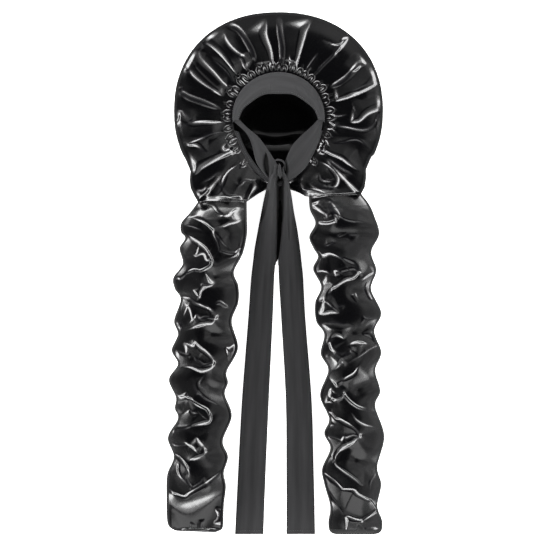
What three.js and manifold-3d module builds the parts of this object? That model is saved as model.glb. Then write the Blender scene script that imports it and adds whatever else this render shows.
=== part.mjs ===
// A satin sleep cap with two ruched sleeves for the hair, laid on its back on a table.
// Millimetres. x runs to the right, y towards the top of the crown, z up from the table.
// The origin is the middle of the crown's back, where it rests.
import * as THREE from 'three';
import { mergeVertices } from 'three/addons/utils/BufferGeometryUtils.js';
import Module from 'manifold-3d';

const wasm = await Module();
wasm.setup();

// Cloth and seams
const SATIN = 1.6; // wall of the doubled satin
const RIBBON = 2; // folded cloth of the band, straps and ties
const SEAM_GAP = 0.4; // between pieces that are sewn to each other
const BINDING_WIDE = 7;

// The crown's outline from above, and the gathered seam line round the face opening
const crownOutline = { halfWide: 151, up: 143, down: 138, squareness: 2.2, napeCut: 23, napeSpread: 30 };
const seamLine = { halfWide: 66.5, up: 63.5, down: 101.5, middleY: -7, high: 46, napeHigh: 34 };

// The band's free edge, from its right end to the middle of the brow. The left half is its mirror image.
const FACE_EDGE_HIGH = 72;
const faceEdge = [
  { x: 57.3, y: -14.2 },
  { x: 50.8, y: 0.7 },
  { x: 39.5, y: 10.8 },
  { x: 29.5, y: 17.8 },
  { x: 19.4, y: 22.4 },
  { x: 9.2, y: 23.3 },
  { x: 0, y: 23.3 },
];

// The puffed ring in section. reach runs from 0 at the seam line to 1 at the rim.
const crownSection = [
  { name: 'seam', reach: 0, high: 46 },
  { name: 'gathers', reach: 0.1, high: 53 },
  { name: 'crest', reach: 0.4, high: 61 },
  { name: 'shoulder', reach: 0.82, high: 46 },
  { name: 'rim', reach: 1, high: 24 },
  { name: 'turn', reach: 0.94, high: 6 },
  { name: 'rest', reach: 0.8, high: 0 },
];
const SECTION_STATIONS = [0, 0.07, 0.18, 0.34, 0.52, 0.7, 0.83, 1]; // along the section's curve
const FULL_RING = 60; // a ring this wide has its full puff, and a narrower one less

// Radial folds. seam and rim are the angles at which a ridge leaves the seam line and meets the rim,
// high is the ridge's height, and reach is where it starts to fade.
const crownFolds = [
  { seam: -78, rim: -77, high: 1.5, reach: 0.9 },
  { seam: -63, rim: -62, high: 3, reach: 0.9 },
  { seam: -50, rim: -51, high: 4, reach: 0.9 },
  { seam: -39, rim: -42, high: 5, reach: 0.9 },
  { seam: -29, rim: -34, high: 5, reach: 0.8 },
  { seam: -19, rim: -22, high: 5, reach: 0.7 },
  { seam: -8, rim: -10, high: 5.5, reach: 0.85 },
  { seam: 3, rim: 2, high: 4, reach: 0.7 },
  { seam: 15, rim: 16, high: 5.5, reach: 0.8 },
  { seam: 30, rim: 30, high: 5.5, reach: 0.8 },
  { seam: 45, rim: 46, high: 5.5, reach: 0.75 },
  { seam: 57, rim: 58, high: 3.5, reach: 0.4 },
  { seam: 70, rim: 72, high: 5.5, reach: 0.75 },
  { seam: 85, rim: 88, high: 5, reach: 0.75 },
  { seam: 98, rim: 100, high: 5.5, reach: 0.75 },
  { seam: 111, rim: 113, high: 5, reach: 0.75 },
  { seam: 123, rim: 125, high: 5.5, reach: 0.8 },
  { seam: 135, rim: 136, high: 5.5, reach: 0.75 },
  { seam: 148, rim: 146, high: 5.5, reach: 0.8 },
  { seam: 161, rim: 157, high: 6, reach: 0.85 },
  { seam: 174, rim: 170, high: 6, reach: 0.85 },
  { seam: 185, rim: 186, high: 5.5, reach: 0.8 },
  { seam: 194, rim: 196, high: 4.5, reach: 0.7 },
  { seam: 203, rim: 206, high: 5.5, reach: 0.8 },
  { seam: 212, rim: 217, high: 5.5, reach: 0.9 },
  { seam: 223, rim: 229, high: 5, reach: 0.9 },
  { seam: 237, rim: 242, high: 3, reach: 0.9 },
  { seam: 256, rim: 256, high: 1.5, reach: 0.9 },
];
const VALLEY_SHARE = 0.7; // a valley's depth against its ridge's height
const SEAM_SHARE = 0.1; // how much of a fold is left at the seam line
const RIM_SHARE = 0.12; // and at the rim

// Sleeves. Each row is a ruched valley that crosses the sleeve from its left edge to its right one.
// left and right are the valley's y at the two edges, inLeft and inRight the x there,
// and outLeft, outRight and high are how far the puff below it swells. A sewn row is straight.
const leftRoot = [
  { left: -58, right: -52, inLeft: -104, inRight: -30, outLeft: -120, outRight: -20, high: 46 },
  { left: -88, right: -70, inLeft: -125, inRight: -17, outLeft: -129, outRight: -18, high: 52 },
  { left: -130.5, right: -130.5, inLeft: -117, inRight: -46, outLeft: 0, outRight: 0, high: 0, sewn: true },
];
const rightRoot = [
  { left: -52, right: -56, inLeft: 30, inRight: 104, outLeft: 20, outRight: 118, high: 46 },
  { left: -70, right: -85, inLeft: 17, inRight: 124, outLeft: 20, outRight: 126, high: 52 },
  { left: -124, right: -120, inLeft: 45, inRight: 119, outLeft: 0, outRight: 0, high: 0, sewn: true },
];
const leftSleeve = [
  { left: -130.5, right: -130.5, inLeft: -117, inRight: -46, outLeft: -142, outRight: -45.5, high: 50, sewn: true },
  { left: -183, right: -160, inLeft: -135.5, inRight: -46.5, outLeft: -144.5, outRight: -52, high: 50 },
  { left: -221, right: -232, inLeft: -138.5, inRight: -64.5, outLeft: -153, outRight: -58, high: 50 },
  { left: -273, right: -268, inLeft: -141.5, inRight: -59, outLeft: -151.5, outRight: -58.5, high: 50 },
  { left: -322, right: -305, inLeft: -145.5, inRight: -67.5, outLeft: -154.5, outRight: -58.5, high: 48 },
  { left: -365, right: -377, inLeft: -146, inRight: -75, outLeft: -159, outRight: -73, high: 46 },
  { left: -413, right: -409, inLeft: -148.5, inRight: -77.5, outLeft: -151, outRight: -68.5, high: 46 },
  { left: -444, right: -440, inLeft: -145.5, inRight: -67.5, outLeft: -160, outRight: -70, high: 46 },
  { left: -499, right: -476, inLeft: -151.5, inRight: -80.5, outLeft: -161, outRight: -73, high: 46 },
  { left: -540, right: -522, inLeft: -161, inRight: -79, outLeft: -162, outRight: -76.5, high: 40 },
  { left: -605, right: -609, inLeft: -155, inRight: -83, outLeft: 0, outRight: 0, high: 0, sewn: true },
];
const rightSleeve = [
  { left: -124, right: -120, inLeft: 45, inRight: 119, outLeft: 44.5, outRight: 133, high: 50, sewn: true },
  { left: -163, right: -160, inLeft: 54, inRight: 141, outLeft: 44, outRight: 144.5, high: 50 },
  { left: -209, right: -204, inLeft: 57.5, inRight: 134, outLeft: 50, outRight: 142, high: 50 },
  { left: -253, right: -257, inLeft: 61.5, inRight: 134.5, outLeft: 54, outRight: 149, high: 50 },
  { left: -322, right: -317, inLeft: 66, inRight: 138.5, outLeft: 60, outRight: 149, high: 48 },
  { left: -374, right: -374, inLeft: 71.5, inRight: 140.5, outLeft: 60, outRight: 147.5, high: 46 },
  { left: -444, right: -426, inLeft: 73, inRight: 140.5, outLeft: 66, outRight: 153, high: 46 },
  { left: -487, right: -480, inLeft: 74.5, inRight: 148, outLeft: 63.5, outRight: 151, high: 46 },
  { left: -536, right: -513, inLeft: 69, inRight: 143, outLeft: 68, outRight: 149, high: 46 },
  { left: -571, right: -570, inLeft: 74.5, inRight: 143.5, outLeft: 72, outRight: 151, high: 40 },
  { left: -612, right: -610, inLeft: 76, inRight: 147, outLeft: 0, outRight: 0, high: 0, sewn: true },
];
const SLEEVE_SIDES = 14;
const PUFF_RINGS = 4; // rings from one valley to the next
const PUFF_ROUNDNESS = 0.65; // below 1, a puff is round and its valleys are sharp
const VALLEY_HIGH = 38; // height of a sleeve in a valley
const VALLEY_LIFT = 4; // how far a valley's underside is lifted off the table
const FLAT_UNDER = 1.35; // above 1, the underside is flattened where it rests
const END_SEAM_HIGH = 4.4; // both layers of a sleeve, sewn shut at its end
const ROOT_BOW = 4;
const SLEEVE_BOW = 7; // how far a valley bows down in the middle of the front

// Straps from the band's two ends to the knot: the upper edge, then the lower edge, as x, y, z
const leftStrapEdges = {
  upper: [[-57.5, -15.6, 71], [-43, -27, 67], [-29, -38, 64], [-17, -54, 61], [-1, -78, 58]],
  lower: [[-63.5, -18.1, 49], [-47, -31, 48], [-38.5, -48, 47], [-30.5, -74, 46.5], [-1, -91, 52]],
};
const rightStrapEdges = {
  upper: [[57.5, -15.6, 71], [47, -23.5, 68], [33, -36, 65], [19.5, -51, 62], [4, -78, 60]],
  lower: [[63.5, -18.1, 49], [58.8, -38, 50], [49, -63, 48], [28, -91, 46], [4, -92, 51]],
};
const STRAP_BELLY = 3;

// Ties, from the knot to the free end: x of the two edges, height, and how far the folded cloth arches
const leftTie = [
  { y: -89, left: -7, right: 0, high: 54, arch: 5 },
  { y: -98, left: -13, right: -2, high: 50, arch: 9 },
  { y: -110, left: -17, right: -2.5, high: 45, arch: 7 },
  { y: -124, left: -20.5, right: -2, high: 36, arch: 6 },
  { y: -146, left: -25, right: -1.5, high: 18, arch: 6 },
  { y: -172, left: -30, right: -1.5, high: 5, arch: 5 },
  { y: -200, left: -35, right: -2, high: 1, arch: 4 },
  { y: -243, left: -40, right: -6.5, high: 1, arch: 1.5 },
  { y: -300, left: -44, right: -8.5, high: 1, arch: 0.5 },
  { y: -417, left: -53, right: -14, high: 1, arch: 0 },
  { y: -520, left: -58.5, right: -18.5, high: 1, arch: 0 },
  { y: -612, left: -63, right: -22, high: 1, arch: 0 },
];
const rightTie = [
  { y: -89, left: 3, right: 8, high: 54, arch: 4 },
  { y: -98, left: 5.5, right: 13, high: 50, arch: 7 },
  { y: -110, left: 5, right: 16, high: 45, arch: 7 },
  { y: -124, left: 3.5, right: 19, high: 36, arch: 6 },
  { y: -146, left: 2.5, right: 22.5, high: 18, arch: 6 },
  { y: -172, left: 1, right: 27.5, high: 5, arch: 5 },
  { y: -200, left: 0.5, right: 31.5, high: 1, arch: 4 },
  { y: -243, left: 1, right: 36, high: 1, arch: 1.5 },
  { y: -300, left: 4, right: 39, high: 1, arch: 0.5 },
  { y: -417, left: 10.5, right: 48, high: 1, arch: 0 },
  { y: -520, left: 11.5, right: 51, high: 1, arch: 0 },
  { y: -612, left: 11.5, right: 53, high: 1, arch: 0 },
];
const TIE_STEPS = 20;

// The knot, from its top to where the ties leave it
const knotRings = [
  { y: -73, x: 1.5, halfWide: 5, low: 54, high: 60 },
  { y: -77, x: 1.5, halfWide: 7.5, low: 50, high: 64 },
  { y: -84, x: 1.5, halfWide: 8.5, low: 48, high: 66 },
  { y: -91, x: 1, halfWide: 8, low: 48, high: 64 },
  { y: -95.5, x: 1, halfWide: 6, low: 50, high: 60 },
];
const KNOT_SIDES = 12;

const radians = THREE.MathUtils.degToRad;
const mix = THREE.MathUtils.lerp;

// Closed solids

// A closed mesh from rings of equally many points, capped at both ends by a fan.
function ringsToGeometry(rings) {
  const sides = rings[0].length;
  const points = rings.flat();
  const faces = [];
  for (let ring = 0; ring < rings.length - 1; ring++) {
    for (let i = 0; i < sides; i++) {
      const a = ring * sides + i;
      const b = ring * sides + ((i + 1) % sides);
      faces.push(a, b, b + sides, a, b + sides, a + sides);
    }
  }
  for (const [ring, turned] of [[0, true], [rings.length - 1, false]]) {
    const middle = new THREE.Vector3();
    rings[ring].forEach((point) => middle.addScaledVector(point, 1 / sides));
    points.push(middle);
    for (let i = 0; i < sides; i++) {
      const pair = [ring * sides + i, ring * sides + ((i + 1) % sides)];
      if (turned) pair.reverse();
      faces.push(...pair, points.length - 1);
    }
  }
  return new THREE.BufferGeometry().setFromPoints(points).setIndex(faces);
}

// A sheet of cloth of the given thickness over a grid of points, closed along its four edges.
function sheetGeometry(pointAt, steps, across, thickness) {
  const small = 1e-3;
  const sideOf = (sign) => {
    const points = [];
    for (let i = 0; i <= steps; i++) {
      for (let j = 0; j <= across; j++) {
        const [u, v] = [i / steps, j / across];
        const alongU = pointAt(Math.min(u + small, 1), v).sub(pointAt(Math.max(u - small, 0), v));
        const alongV = pointAt(u, Math.min(v + small, 1)).sub(pointAt(u, Math.max(v - small, 0)));
        const normal = alongU.cross(alongV).normalize();
        points.push(pointAt(u, v).addScaledVector(normal, (sign * thickness) / 2));
      }
    }
    return points;
  };
  const upper = sideOf(1);
  const points = [...upper, ...sideOf(-1)];
  const row = across + 1;
  const faces = [];
  for (let i = 0; i < steps; i++) {
    for (let j = 0; j < across; j++) {
      const a = i * row + j;
      faces.push(a, a + row, a + row + 1, a, a + row + 1, a + 1);
      const b = a + upper.length;
      faces.push(b, b + row + 1, b + row, b, b + 1, b + row + 1);
    }
  }
  const border = [];
  for (let i = 0; i < steps; i++) border.push([(i + 1) * row, i * row]);
  for (let j = 0; j < across; j++) border.push([j, j + 1]);
  for (let i = 0; i < steps; i++) border.push([i * row + across, (i + 1) * row + across]);
  for (let j = 0; j < across; j++) border.push([steps * row + j + 1, steps * row + j]);
  for (const [a, b] of border) {
    faces.push(a, b, b + upper.length, a, b + upper.length, a + upper.length);
  }
  return new THREE.BufferGeometry().setFromPoints(points).setIndex(faces);
}

function toManifold(geometry) {
  const bare = new THREE.BufferGeometry();
  bare.setAttribute('position', geometry.getAttribute('position')).setIndex(geometry.index);
  const merged = mergeVertices(bare, 1e-3);
  const solid = new wasm.Manifold(new wasm.Mesh({
    numProp: 3,
    vertProperties: merged.attributes.position.array,
    triVerts: new Uint32Array(merged.index.array),
  }));
  return solid;
}

function toGeometry(solid) {
  const mesh = solid.getMesh();
  const geometry = new THREE.BufferGeometry();
  geometry.setAttribute('position', new THREE.BufferAttribute(mesh.vertProperties, 3));
  geometry.setIndex(new THREE.BufferAttribute(mesh.triVerts, 1));
  return geometry;
}

// A smooth curve through a table's values in one column, read at a share of another column.
function smoothTable(rows, columns) {
  const curves = columns.map((column) => (
    new THREE.CatmullRomCurve3(rows.map((row) => new THREE.Vector3(row.y, row[column], 0)), false, 'centripetal')
  ));
  return (share) => curves.map((curve) => curve.getPoint(share));
}

// The crown

function superellipse(angle, halfWide, halfHigh, squareness) {
  const across = Math.abs(Math.cos(angle) / halfWide) ** squareness;
  const along = Math.abs(Math.sin(angle) / halfHigh) ** squareness;
  return (across + along) ** (-1 / squareness);
}

function rimPoint(degrees) {
  const angle = radians(degrees);
  const { halfWide, up, down, squareness, napeCut, napeSpread } = crownOutline;
  const fromNape = Math.abs(THREE.MathUtils.euclideanModulo(degrees + 270, 360) - 180);
  const cut = napeCut * Math.exp(-((fromNape / napeSpread) ** 2));
  const radius = superellipse(angle, halfWide, Math.sin(angle) > 0 ? up : down, squareness) - cut;
  return new THREE.Vector2(Math.cos(angle), Math.sin(angle)).multiplyScalar(radius);
}

// The seam line is a round arch above and runs together to the nape below.
function seamPoint(degrees) {
  const { halfWide, up, down, middleY, high, napeHigh } = seamLine;
  const [cos, sin] = [Math.cos(radians(degrees)), Math.sin(radians(degrees))];
  const depth = Math.max(0, -sin);
  const width = sin > 0 ? Math.abs(cos) : (1 - depth ** 1.7) ** 0.62;
  return new THREE.Vector3(
    halfWide * Math.sign(cos) * width,
    middleY + (sin > 0 ? up * sin : down * sin),
    mix(high, napeHigh, depth ** 2),
  );
}

const sectionCurve = new THREE.SplineCurve(
  crownSection.map(({ reach, high }) => new THREE.Vector2(reach * FULL_RING * 1.5, high)),
);

// One column of the crown from the seam line over the puff to the underside, then to the middle.
// lift is how far the cloth is folded up here, and inset moves the column inside the wall.
function crownColumn(seamAngle, rimAngle, fold, lift, inset) {
  const seam = seamPoint(seamAngle);
  const rim = rimPoint(rimAngle);
  const wide = Math.hypot(rim.x - seam.x, rim.y - seam.y);
  const outward = new THREE.Vector2(rim.x - seam.x, rim.y - seam.y).normalize();
  const puff = Math.min(1, wide / FULL_RING);
  return SECTION_STATIONS.map((station) => {
    const at = sectionCurve.getPoint(station);
    const along = sectionCurve.getTangent(station);
    const reach = at.x / (FULL_RING * 1.5);
    const shown = THREE.MathUtils.smoothstep(reach, 0, 0.12) * (1 - SEAM_SHARE) + SEAM_SHARE;
    const faded = 1 - (1 - RIM_SHARE) * THREE.MathUtils.smoothstep(reach, fold.reach - 0.25, fold.reach + 0.25);
    const isUnder = station > 0.75;
    const raised = isUnder ? 0 : lift * shown * faded * puff;
    const normal = new THREE.Vector2(-along.y, along.x);
    const ringHigh = station === 1 ? 0 : at.y - seamLine.high + mix(seam.z, seamLine.high, reach);
    const high = isUnder ? at.y : mix(mix(seam.z, 0, reach), ringHigh, puff);
    const push = raised - inset;
    const side = reach * wide + normal.x * push;
    return new THREE.Vector3(
      seam.x + outward.x * side,
      seam.y + outward.y * side,
      Math.max(high + normal.y * push, inset),
    );
  });
}

// Four columns to a fold: its valley, its rise, its ridge and its fall.
function crownColumns(inset) {
  return crownFolds.flatMap((fold, i) => {
    const last = crownFolds.at(i - 1);
    const turn = i === 0 ? 360 : 0;
    const next = crownFolds[(i + 1) % crownFolds.length];
    const nextTurn = i === crownFolds.length - 1 ? 360 : 0;
    const before = { seam: (last.seam - turn + fold.seam) / 2, rim: (last.rim - turn + fold.rim) / 2 };
    const after = { seam: (fold.seam + next.seam + nextTurn) / 2, rim: (fold.rim + next.rim + nextTurn) / 2 };
    const valley = -VALLEY_SHARE * Math.min(fold.high, last.high);
    return [
      crownColumn(before.seam, before.rim, fold, valley, inset),
      crownColumn(mix(before.seam, fold.seam, 0.6), mix(before.rim, fold.rim, 0.6), fold, 0, inset),
      crownColumn(fold.seam, fold.rim, fold, fold.high, inset),
      crownColumn(mix(fold.seam, after.seam, 0.4), mix(fold.rim, after.rim, 0.4), fold, 0, inset),
    ];
  });
}

// The crown's body as a closed solid. The inner one runs up through the face opening.
function crownBody(inset, lid) {
  const columns = crownColumns(inset);
  const rings = SECTION_STATIONS.map((_, k) => columns.map((column) => column[k])).reverse();
  const seamRing = rings.at(-1);
  if (lid > 0) rings.push(seamRing.map((point) => new THREE.Vector3(point.x, point.y, lid)));
  const middle = rings[0].map((point) => new THREE.Vector3(point.x * 0.4, point.y * 0.4, inset));
  return toManifold(ringsToGeometry([middle, ...rings]));
}

// The sleeves

function sleeveRing(from, to, share, inset, bow) {
  const swell = Math.sin(Math.PI * share) ** PUFF_ROUNDNESS;
  const isEnd = to.high === 0 && to.left < -600;
  const edge = (valleyA, valleyB, out) => mix(mix(valleyA, valleyB, share), out, swell);
  const left = edge(from.inLeft, to.inLeft, from.outLeft) + inset;
  const right = edge(from.inRight, to.inRight, from.outRight) - inset;
  const valleyHigh = mix(VALLEY_HIGH, isEnd ? END_SEAM_HIGH : VALLEY_HIGH, share ** 2);
  const top = mix(valleyHigh, from.high, swell * (isEnd ? 1 - share ** 3 : 1)) - inset;
  const under = VALLEY_LIFT * (1 - swell) * (isEnd ? 1 - share : 1) + inset;
  return Array.from({ length: SLEEVE_SIDES }, (_, i) => {
    const turn = (2 * Math.PI * (i + 0.5)) / SLEEVE_SIDES;
    const [cos, sin] = [Math.cos(turn), Math.sin(turn)];
    const side = (1 + cos) / 2;
    const valleyBow = (row) => (row.sewn ? 0 : bow * sin);
    const y = mix(
      mix(from.left, from.right, side) - valleyBow(from),
      mix(to.left, to.right, side) - valleyBow(to),
      share,
    );
    const round = sin > 0 ? sin : Math.max(-1, sin * FLAT_UNDER);
    return new THREE.Vector3(mix(left, right, side), y, mix(under, top, (1 + round) / 2));
  });
}

function sleeveRings(rows, inset, bow) {
  const rings = [];
  rows.slice(0, -1).forEach((row, k) => {
    for (let step = 0; step < PUFF_RINGS; step++) {
      rings.push(sleeveRing(row, rows[k + 1], step / PUFF_RINGS, inset, bow));
    }
  });
  rings.push(sleeveRing(rows.at(-2), rows.at(-1), 1, inset, bow));
  return rings;
}

const moved = (ring, distance) => ring.map((point) => new THREE.Vector3(point.x, point.y + distance, point.z));

// A short sleeve root that joins the crown. Its inner solid runs past the seam, to open it.
function rootBody(rows, inset) {
  const rings = sleeveRings(rows, inset, ROOT_BOW);
  if (inset > 0) rings.push(moved(rings.at(-1), -2 * SATIN));
  return toManifold(ringsToGeometry(rings));
}

function crownGeometry() {
  const roots = [leftRoot, rightRoot];
  const outside = roots.reduce((body, rows) => body.add(rootBody(rows, 0)), crownBody(0, 0));
  const inside = roots.reduce((body, rows) => body.add(rootBody(rows, SATIN)), crownBody(SATIN, 120));
  return toGeometry(outside.subtract(inside));
}

// A sleeve is a cup: open at the seam with the crown and sewn shut at its far end.
function sleeveGeometry(rows) {
  const outer = sleeveRings(rows, 0, SLEEVE_BOW);
  const inner = sleeveRings(rows, SATIN, SLEEVE_BOW);
  inner[inner.length - 1] = moved(inner.at(-1), 2 * SATIN);
  outer[0] = moved(outer[0], -SEAM_GAP);
  inner[0] = moved(inner[0], -SEAM_GAP);
  return ringsToGeometry([...inner.reverse(), ...outer]);
}

// The band and the binding round the face opening

const faceCurve = new THREE.CatmullRomCurve3(
  [...faceEdge, ...faceEdge.slice(0, -1).reverse().map(({ x, y }) => ({ x: -x, y }))]
    .map(({ x, y }) => new THREE.Vector3(x, y, FACE_EDGE_HIGH)),
);

// share runs from the right end over the brow to the left end, and across from the seam to the free edge.
function bandPoint(share, across) {
  const degrees = mix(-5, 185, share);
  const seam = seamPoint(degrees);
  const inward = new THREE.Vector2(seam.x, seam.y + 7).normalize();
  const clear = 2 * SEAM_GAP; // the crown's wall lies outside its seam line
  seam.x -= inward.x * clear;
  seam.y -= inward.y * clear;
  const point = seam.lerp(faceCurve.getPoint(share), across);
  const belly = 3.5 * Math.sin(Math.PI * across);
  return point.add(new THREE.Vector3(inward.x * belly * 0.6, inward.y * belly * 0.6, belly));
}

function bindingPoint(share, across) {
  const degrees = mix(192, 348, share);
  const seam = seamPoint(degrees);
  const inward = new THREE.Vector2(seam.x, seam.y + 50).normalize();
  const inset = SEAM_GAP / 2 + across * BINDING_WIDE;
  return new THREE.Vector3(seam.x - inward.x * inset, seam.y - inward.y * inset, seam.z + across * 1.5);
}

// Straps, knot and ties

function strapSurface({ upper, lower }, facing) {
  const curve = (points) => new THREE.CatmullRomCurve3(points.map((p) => new THREE.Vector3(...p)));
  const [top, bottom] = [curve(upper), curve(lower)];
  return (share, across) => {
    const at = facing > 0 ? across : 1 - across;
    const point = bottom.getPoint(share).lerp(top.getPoint(share), at);
    point.z += STRAP_BELLY * Math.sin(Math.PI * at) * Math.sin(Math.PI * share);
    return point;
  };
}

function tieSurface(rows) {
  const read = smoothTable(rows, ['left', 'right', 'high', 'arch']);
  return (share, across) => {
    const [left, right, high, arch] = read(share);
    const side = 2 * across - 1;
    const lift = Math.max(0, arch.y) * (1 - side * side);
    return new THREE.Vector3(mix(left.y, right.y, across), left.x, Math.max(high.y, RIBBON / 2) + lift);
  };
}

// The knot, grown all round by a distance: 0 is the knot itself.
function knotGeometry(grow) {
  const rings = knotRings.map(({ y, x, halfWide, low, high }, k) => (
    Array.from({ length: KNOT_SIDES }, (_, i) => {
      const turn = (2 * Math.PI * i) / KNOT_SIDES;
      const z = mix(low - grow, high + grow, (1 + Math.sin(turn)) / 2);
      const endMove = k === 0 ? grow : k === knotRings.length - 1 ? -grow : 0;
      return new THREE.Vector3(x + (halfWide + grow) * Math.cos(turn), y + endMove, z);
    })
  ));
  return ringsToGeometry(rings);
}

// Straps and ties run into the knot and end at its surface.
function endAtKnot(geometry) {
  return toGeometry(toManifold(geometry).subtract(toManifold(knotGeometry(SEAM_GAP))));
}

// Finishes

const satin = new THREE.MeshStandardMaterial({ color: 0x0d0d0e, roughness: 0.3, metalness: 0 });
const ribbon = new THREE.MeshStandardMaterial({ color: 0x2b2b2d, roughness: 0.65, metalness: 0 });

const cap = new THREE.Group();

function add(name, geometry, material) {
  const mesh = new THREE.Mesh(geometry, material);
  mesh.name = name;
  cap.add(mesh);
}

add('crown', crownGeometry(), satin);
add('sleeve_left', sleeveGeometry(leftSleeve), satin);
add('sleeve_right', sleeveGeometry(rightSleeve), satin);
add('brow_band', sheetGeometry(bandPoint, 30, 3, RIBBON), ribbon);
add('nape_binding', sheetGeometry(bindingPoint, 26, 1, SATIN), ribbon);
add('strap_left', endAtKnot(sheetGeometry(strapSurface(leftStrapEdges, 1), 9, 3, RIBBON)), ribbon);
add('strap_right', endAtKnot(sheetGeometry(strapSurface(rightStrapEdges, -1), 9, 3, RIBBON)), ribbon);
add('knot', knotGeometry(0), ribbon);
add('tie_left', endAtKnot(sheetGeometry(tieSurface(leftTie), TIE_STEPS, 3, RIBBON)), ribbon);
add('tie_right', endAtKnot(sheetGeometry(tieSurface(rightTie), TIE_STEPS, 3, RIBBON)), ribbon);

export default cap;
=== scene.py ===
# %% [markdown]
# A satin sleep cap, laid on its back and seen from straight above.
# The cap is sewn from glossy black satin: a round crown that is gathered onto a matt band, and two long
# sleeves for hair, ruched on thread. Satin shows its shape by thin lights along its ridges, so most of
# this lesson is about folds: where each ridge runs, how sharp it is, and how it ends.

# %% Tools, and the frame from the CAD model
import math

import bpy
import numpy as np
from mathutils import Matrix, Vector


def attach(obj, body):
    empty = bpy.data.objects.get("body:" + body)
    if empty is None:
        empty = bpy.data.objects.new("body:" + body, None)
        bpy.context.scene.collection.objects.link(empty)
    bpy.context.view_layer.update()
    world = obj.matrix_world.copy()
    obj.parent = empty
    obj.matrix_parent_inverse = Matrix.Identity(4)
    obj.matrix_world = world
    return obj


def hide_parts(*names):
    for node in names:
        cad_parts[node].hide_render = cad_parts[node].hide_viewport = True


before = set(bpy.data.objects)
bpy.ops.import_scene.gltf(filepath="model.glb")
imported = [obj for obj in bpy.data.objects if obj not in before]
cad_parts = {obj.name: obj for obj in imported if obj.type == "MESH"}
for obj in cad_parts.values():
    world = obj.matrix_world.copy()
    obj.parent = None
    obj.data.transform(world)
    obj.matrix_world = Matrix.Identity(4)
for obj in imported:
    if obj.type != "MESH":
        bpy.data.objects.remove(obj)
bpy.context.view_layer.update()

# %% [markdown]
# All shapes are worked out in millimetres, on the table's own axes: x to the right, y towards the top
# of the crown, z up. A mesh is scaled to metres when it is made, and its object stays at the origin.
# Every cloth surface here is a grid of points, so one helper turns a grid into a mesh with a UV map
# that counts real millimetres. The weave can then follow the cloth.

# %% Small helpers for grids and meshes
MM = 0.001


def smooth_step(values, low, high):
    share = np.clip((np.asarray(values, float) - low) / (high - low), 0, 1)
    return share * share * (3 - 2 * share)


def mix(a, b, share):
    return a + (b - a) * share


def bell(values, middle, spread):
    return np.exp(-(((np.asarray(values, float) - middle) / spread) ** 2))


def unit(vectors):
    return vectors / np.linalg.norm(vectors, axis=-1, keepdims=True)


def summed(steps):
    """How far has been walked after each step, from nothing on."""
    return np.concatenate([[0], np.cumsum(steps)])


def table(columns, *rows):
    """A short table whose columns are named once."""
    return [dict(zip(columns, row)) for row in rows]


def new_object(name, data):
    made = bpy.data.objects.new(name, data)
    bpy.context.collection.objects.link(made)
    return made


def grid_faces(rows, columns, closed=False):
    """Faces of a grid of points, row by row. A closed grid joins its last column to its first."""
    wide = columns if closed else columns - 1
    row, column = np.meshgrid(np.arange(rows - 1), np.arange(wide), indexing="ij")
    after = (column + 1) % columns
    here, below = row * columns, (row + 1) * columns
    return np.stack([here + column, here + after, below + after, below + column], -1).reshape(-1, 4)


def steps_between(points, axis):
    """Mean distance from each row, or column, of a grid to the next, summed up from the first."""
    return summed(np.linalg.norm(np.diff(points, axis=axis), axis=2).mean(1 - axis))


def cloth_mesh(name, grid, material, closed=False, flip=False, keep=None, attributes=None, crease=None):
    """A cloth surface from a grid of points in millimetres, with a UV map in millimetres."""
    rows, columns = grid.shape[:2]
    faces = grid_faces(rows, columns, closed)
    if keep is not None:
        faces = faces[keep(faces)]
    if flip:
        faces = faces[:, ::-1]
    mesh = bpy.data.meshes.new(name)
    mesh.from_pydata((grid.reshape(-1, 3) * MM).tolist(), [], faces.tolist())
    down, over = steps_between(grid, 0), steps_between(grid, 1)
    loops = np.empty(len(mesh.loops), np.int32)
    mesh.loops.foreach_get("vertex_index", loops)
    uv = np.stack([over[loops % columns], down[loops // columns]], -1)
    mesh.uv_layers.new(name="cloth_mm").data.foreach_set("uv", uv.ravel())
    for key, values in (attributes or {}).items():
        layer = mesh.attributes.new(key, "FLOAT", "POINT")
        layer.data.foreach_set("value", np.asarray(values, np.float32).ravel())
    mesh.shade_smooth()
    if crease is not None:
        ends = np.empty(2 * len(mesh.edges), np.int32)
        mesh.edges.foreach_get("vertices", ends)
        sharp = crease(ends.reshape(-1, 2))
        mesh.attributes.new("sharp_edge", "BOOLEAN", "EDGE").data.foreach_set("value", sharp)
    mesh.materials.append(material)
    return new_object(name, mesh)


# %% [markdown]
# Colours are written as sRGB hex values, and one function turns them to the linear values that
# Blender's sockets take. One small function adds a node with its settings and links.

# %% Colour and node helpers
def linear(hex_colour):
    channels = [int(hex_colour[i : i + 2], 16) / 255 for i in (1, 3, 5)]
    return [c / 12.92 if c <= 0.04045 else ((c + 0.055) / 1.055) ** 2.4 for c in channels] + [1.0]


def add_node(tree, kind, settings=None):
    """Adds a node. A setting is an attribute or an input's value. Where it is a socket, or a node that
    stands for its first output, it is linked to the input."""
    node = tree.nodes.new(kind)
    for key, value in (settings or {}).items():
        if isinstance(value, bpy.types.Node):
            value = value.outputs[0]
        if isinstance(value, bpy.types.NodeSocket):
            tree.links.new(value, node.inputs[key])
        elif isinstance(key, str) and hasattr(node, key) and key not in node.inputs:
            setattr(node, key, value)
        else:
            node.inputs[key].default_value = value
    return node


def new_material(name):
    material = bpy.data.materials.new(name)
    material.use_nodes = True
    material.node_tree.nodes.clear()
    return material, material.node_tree
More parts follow.
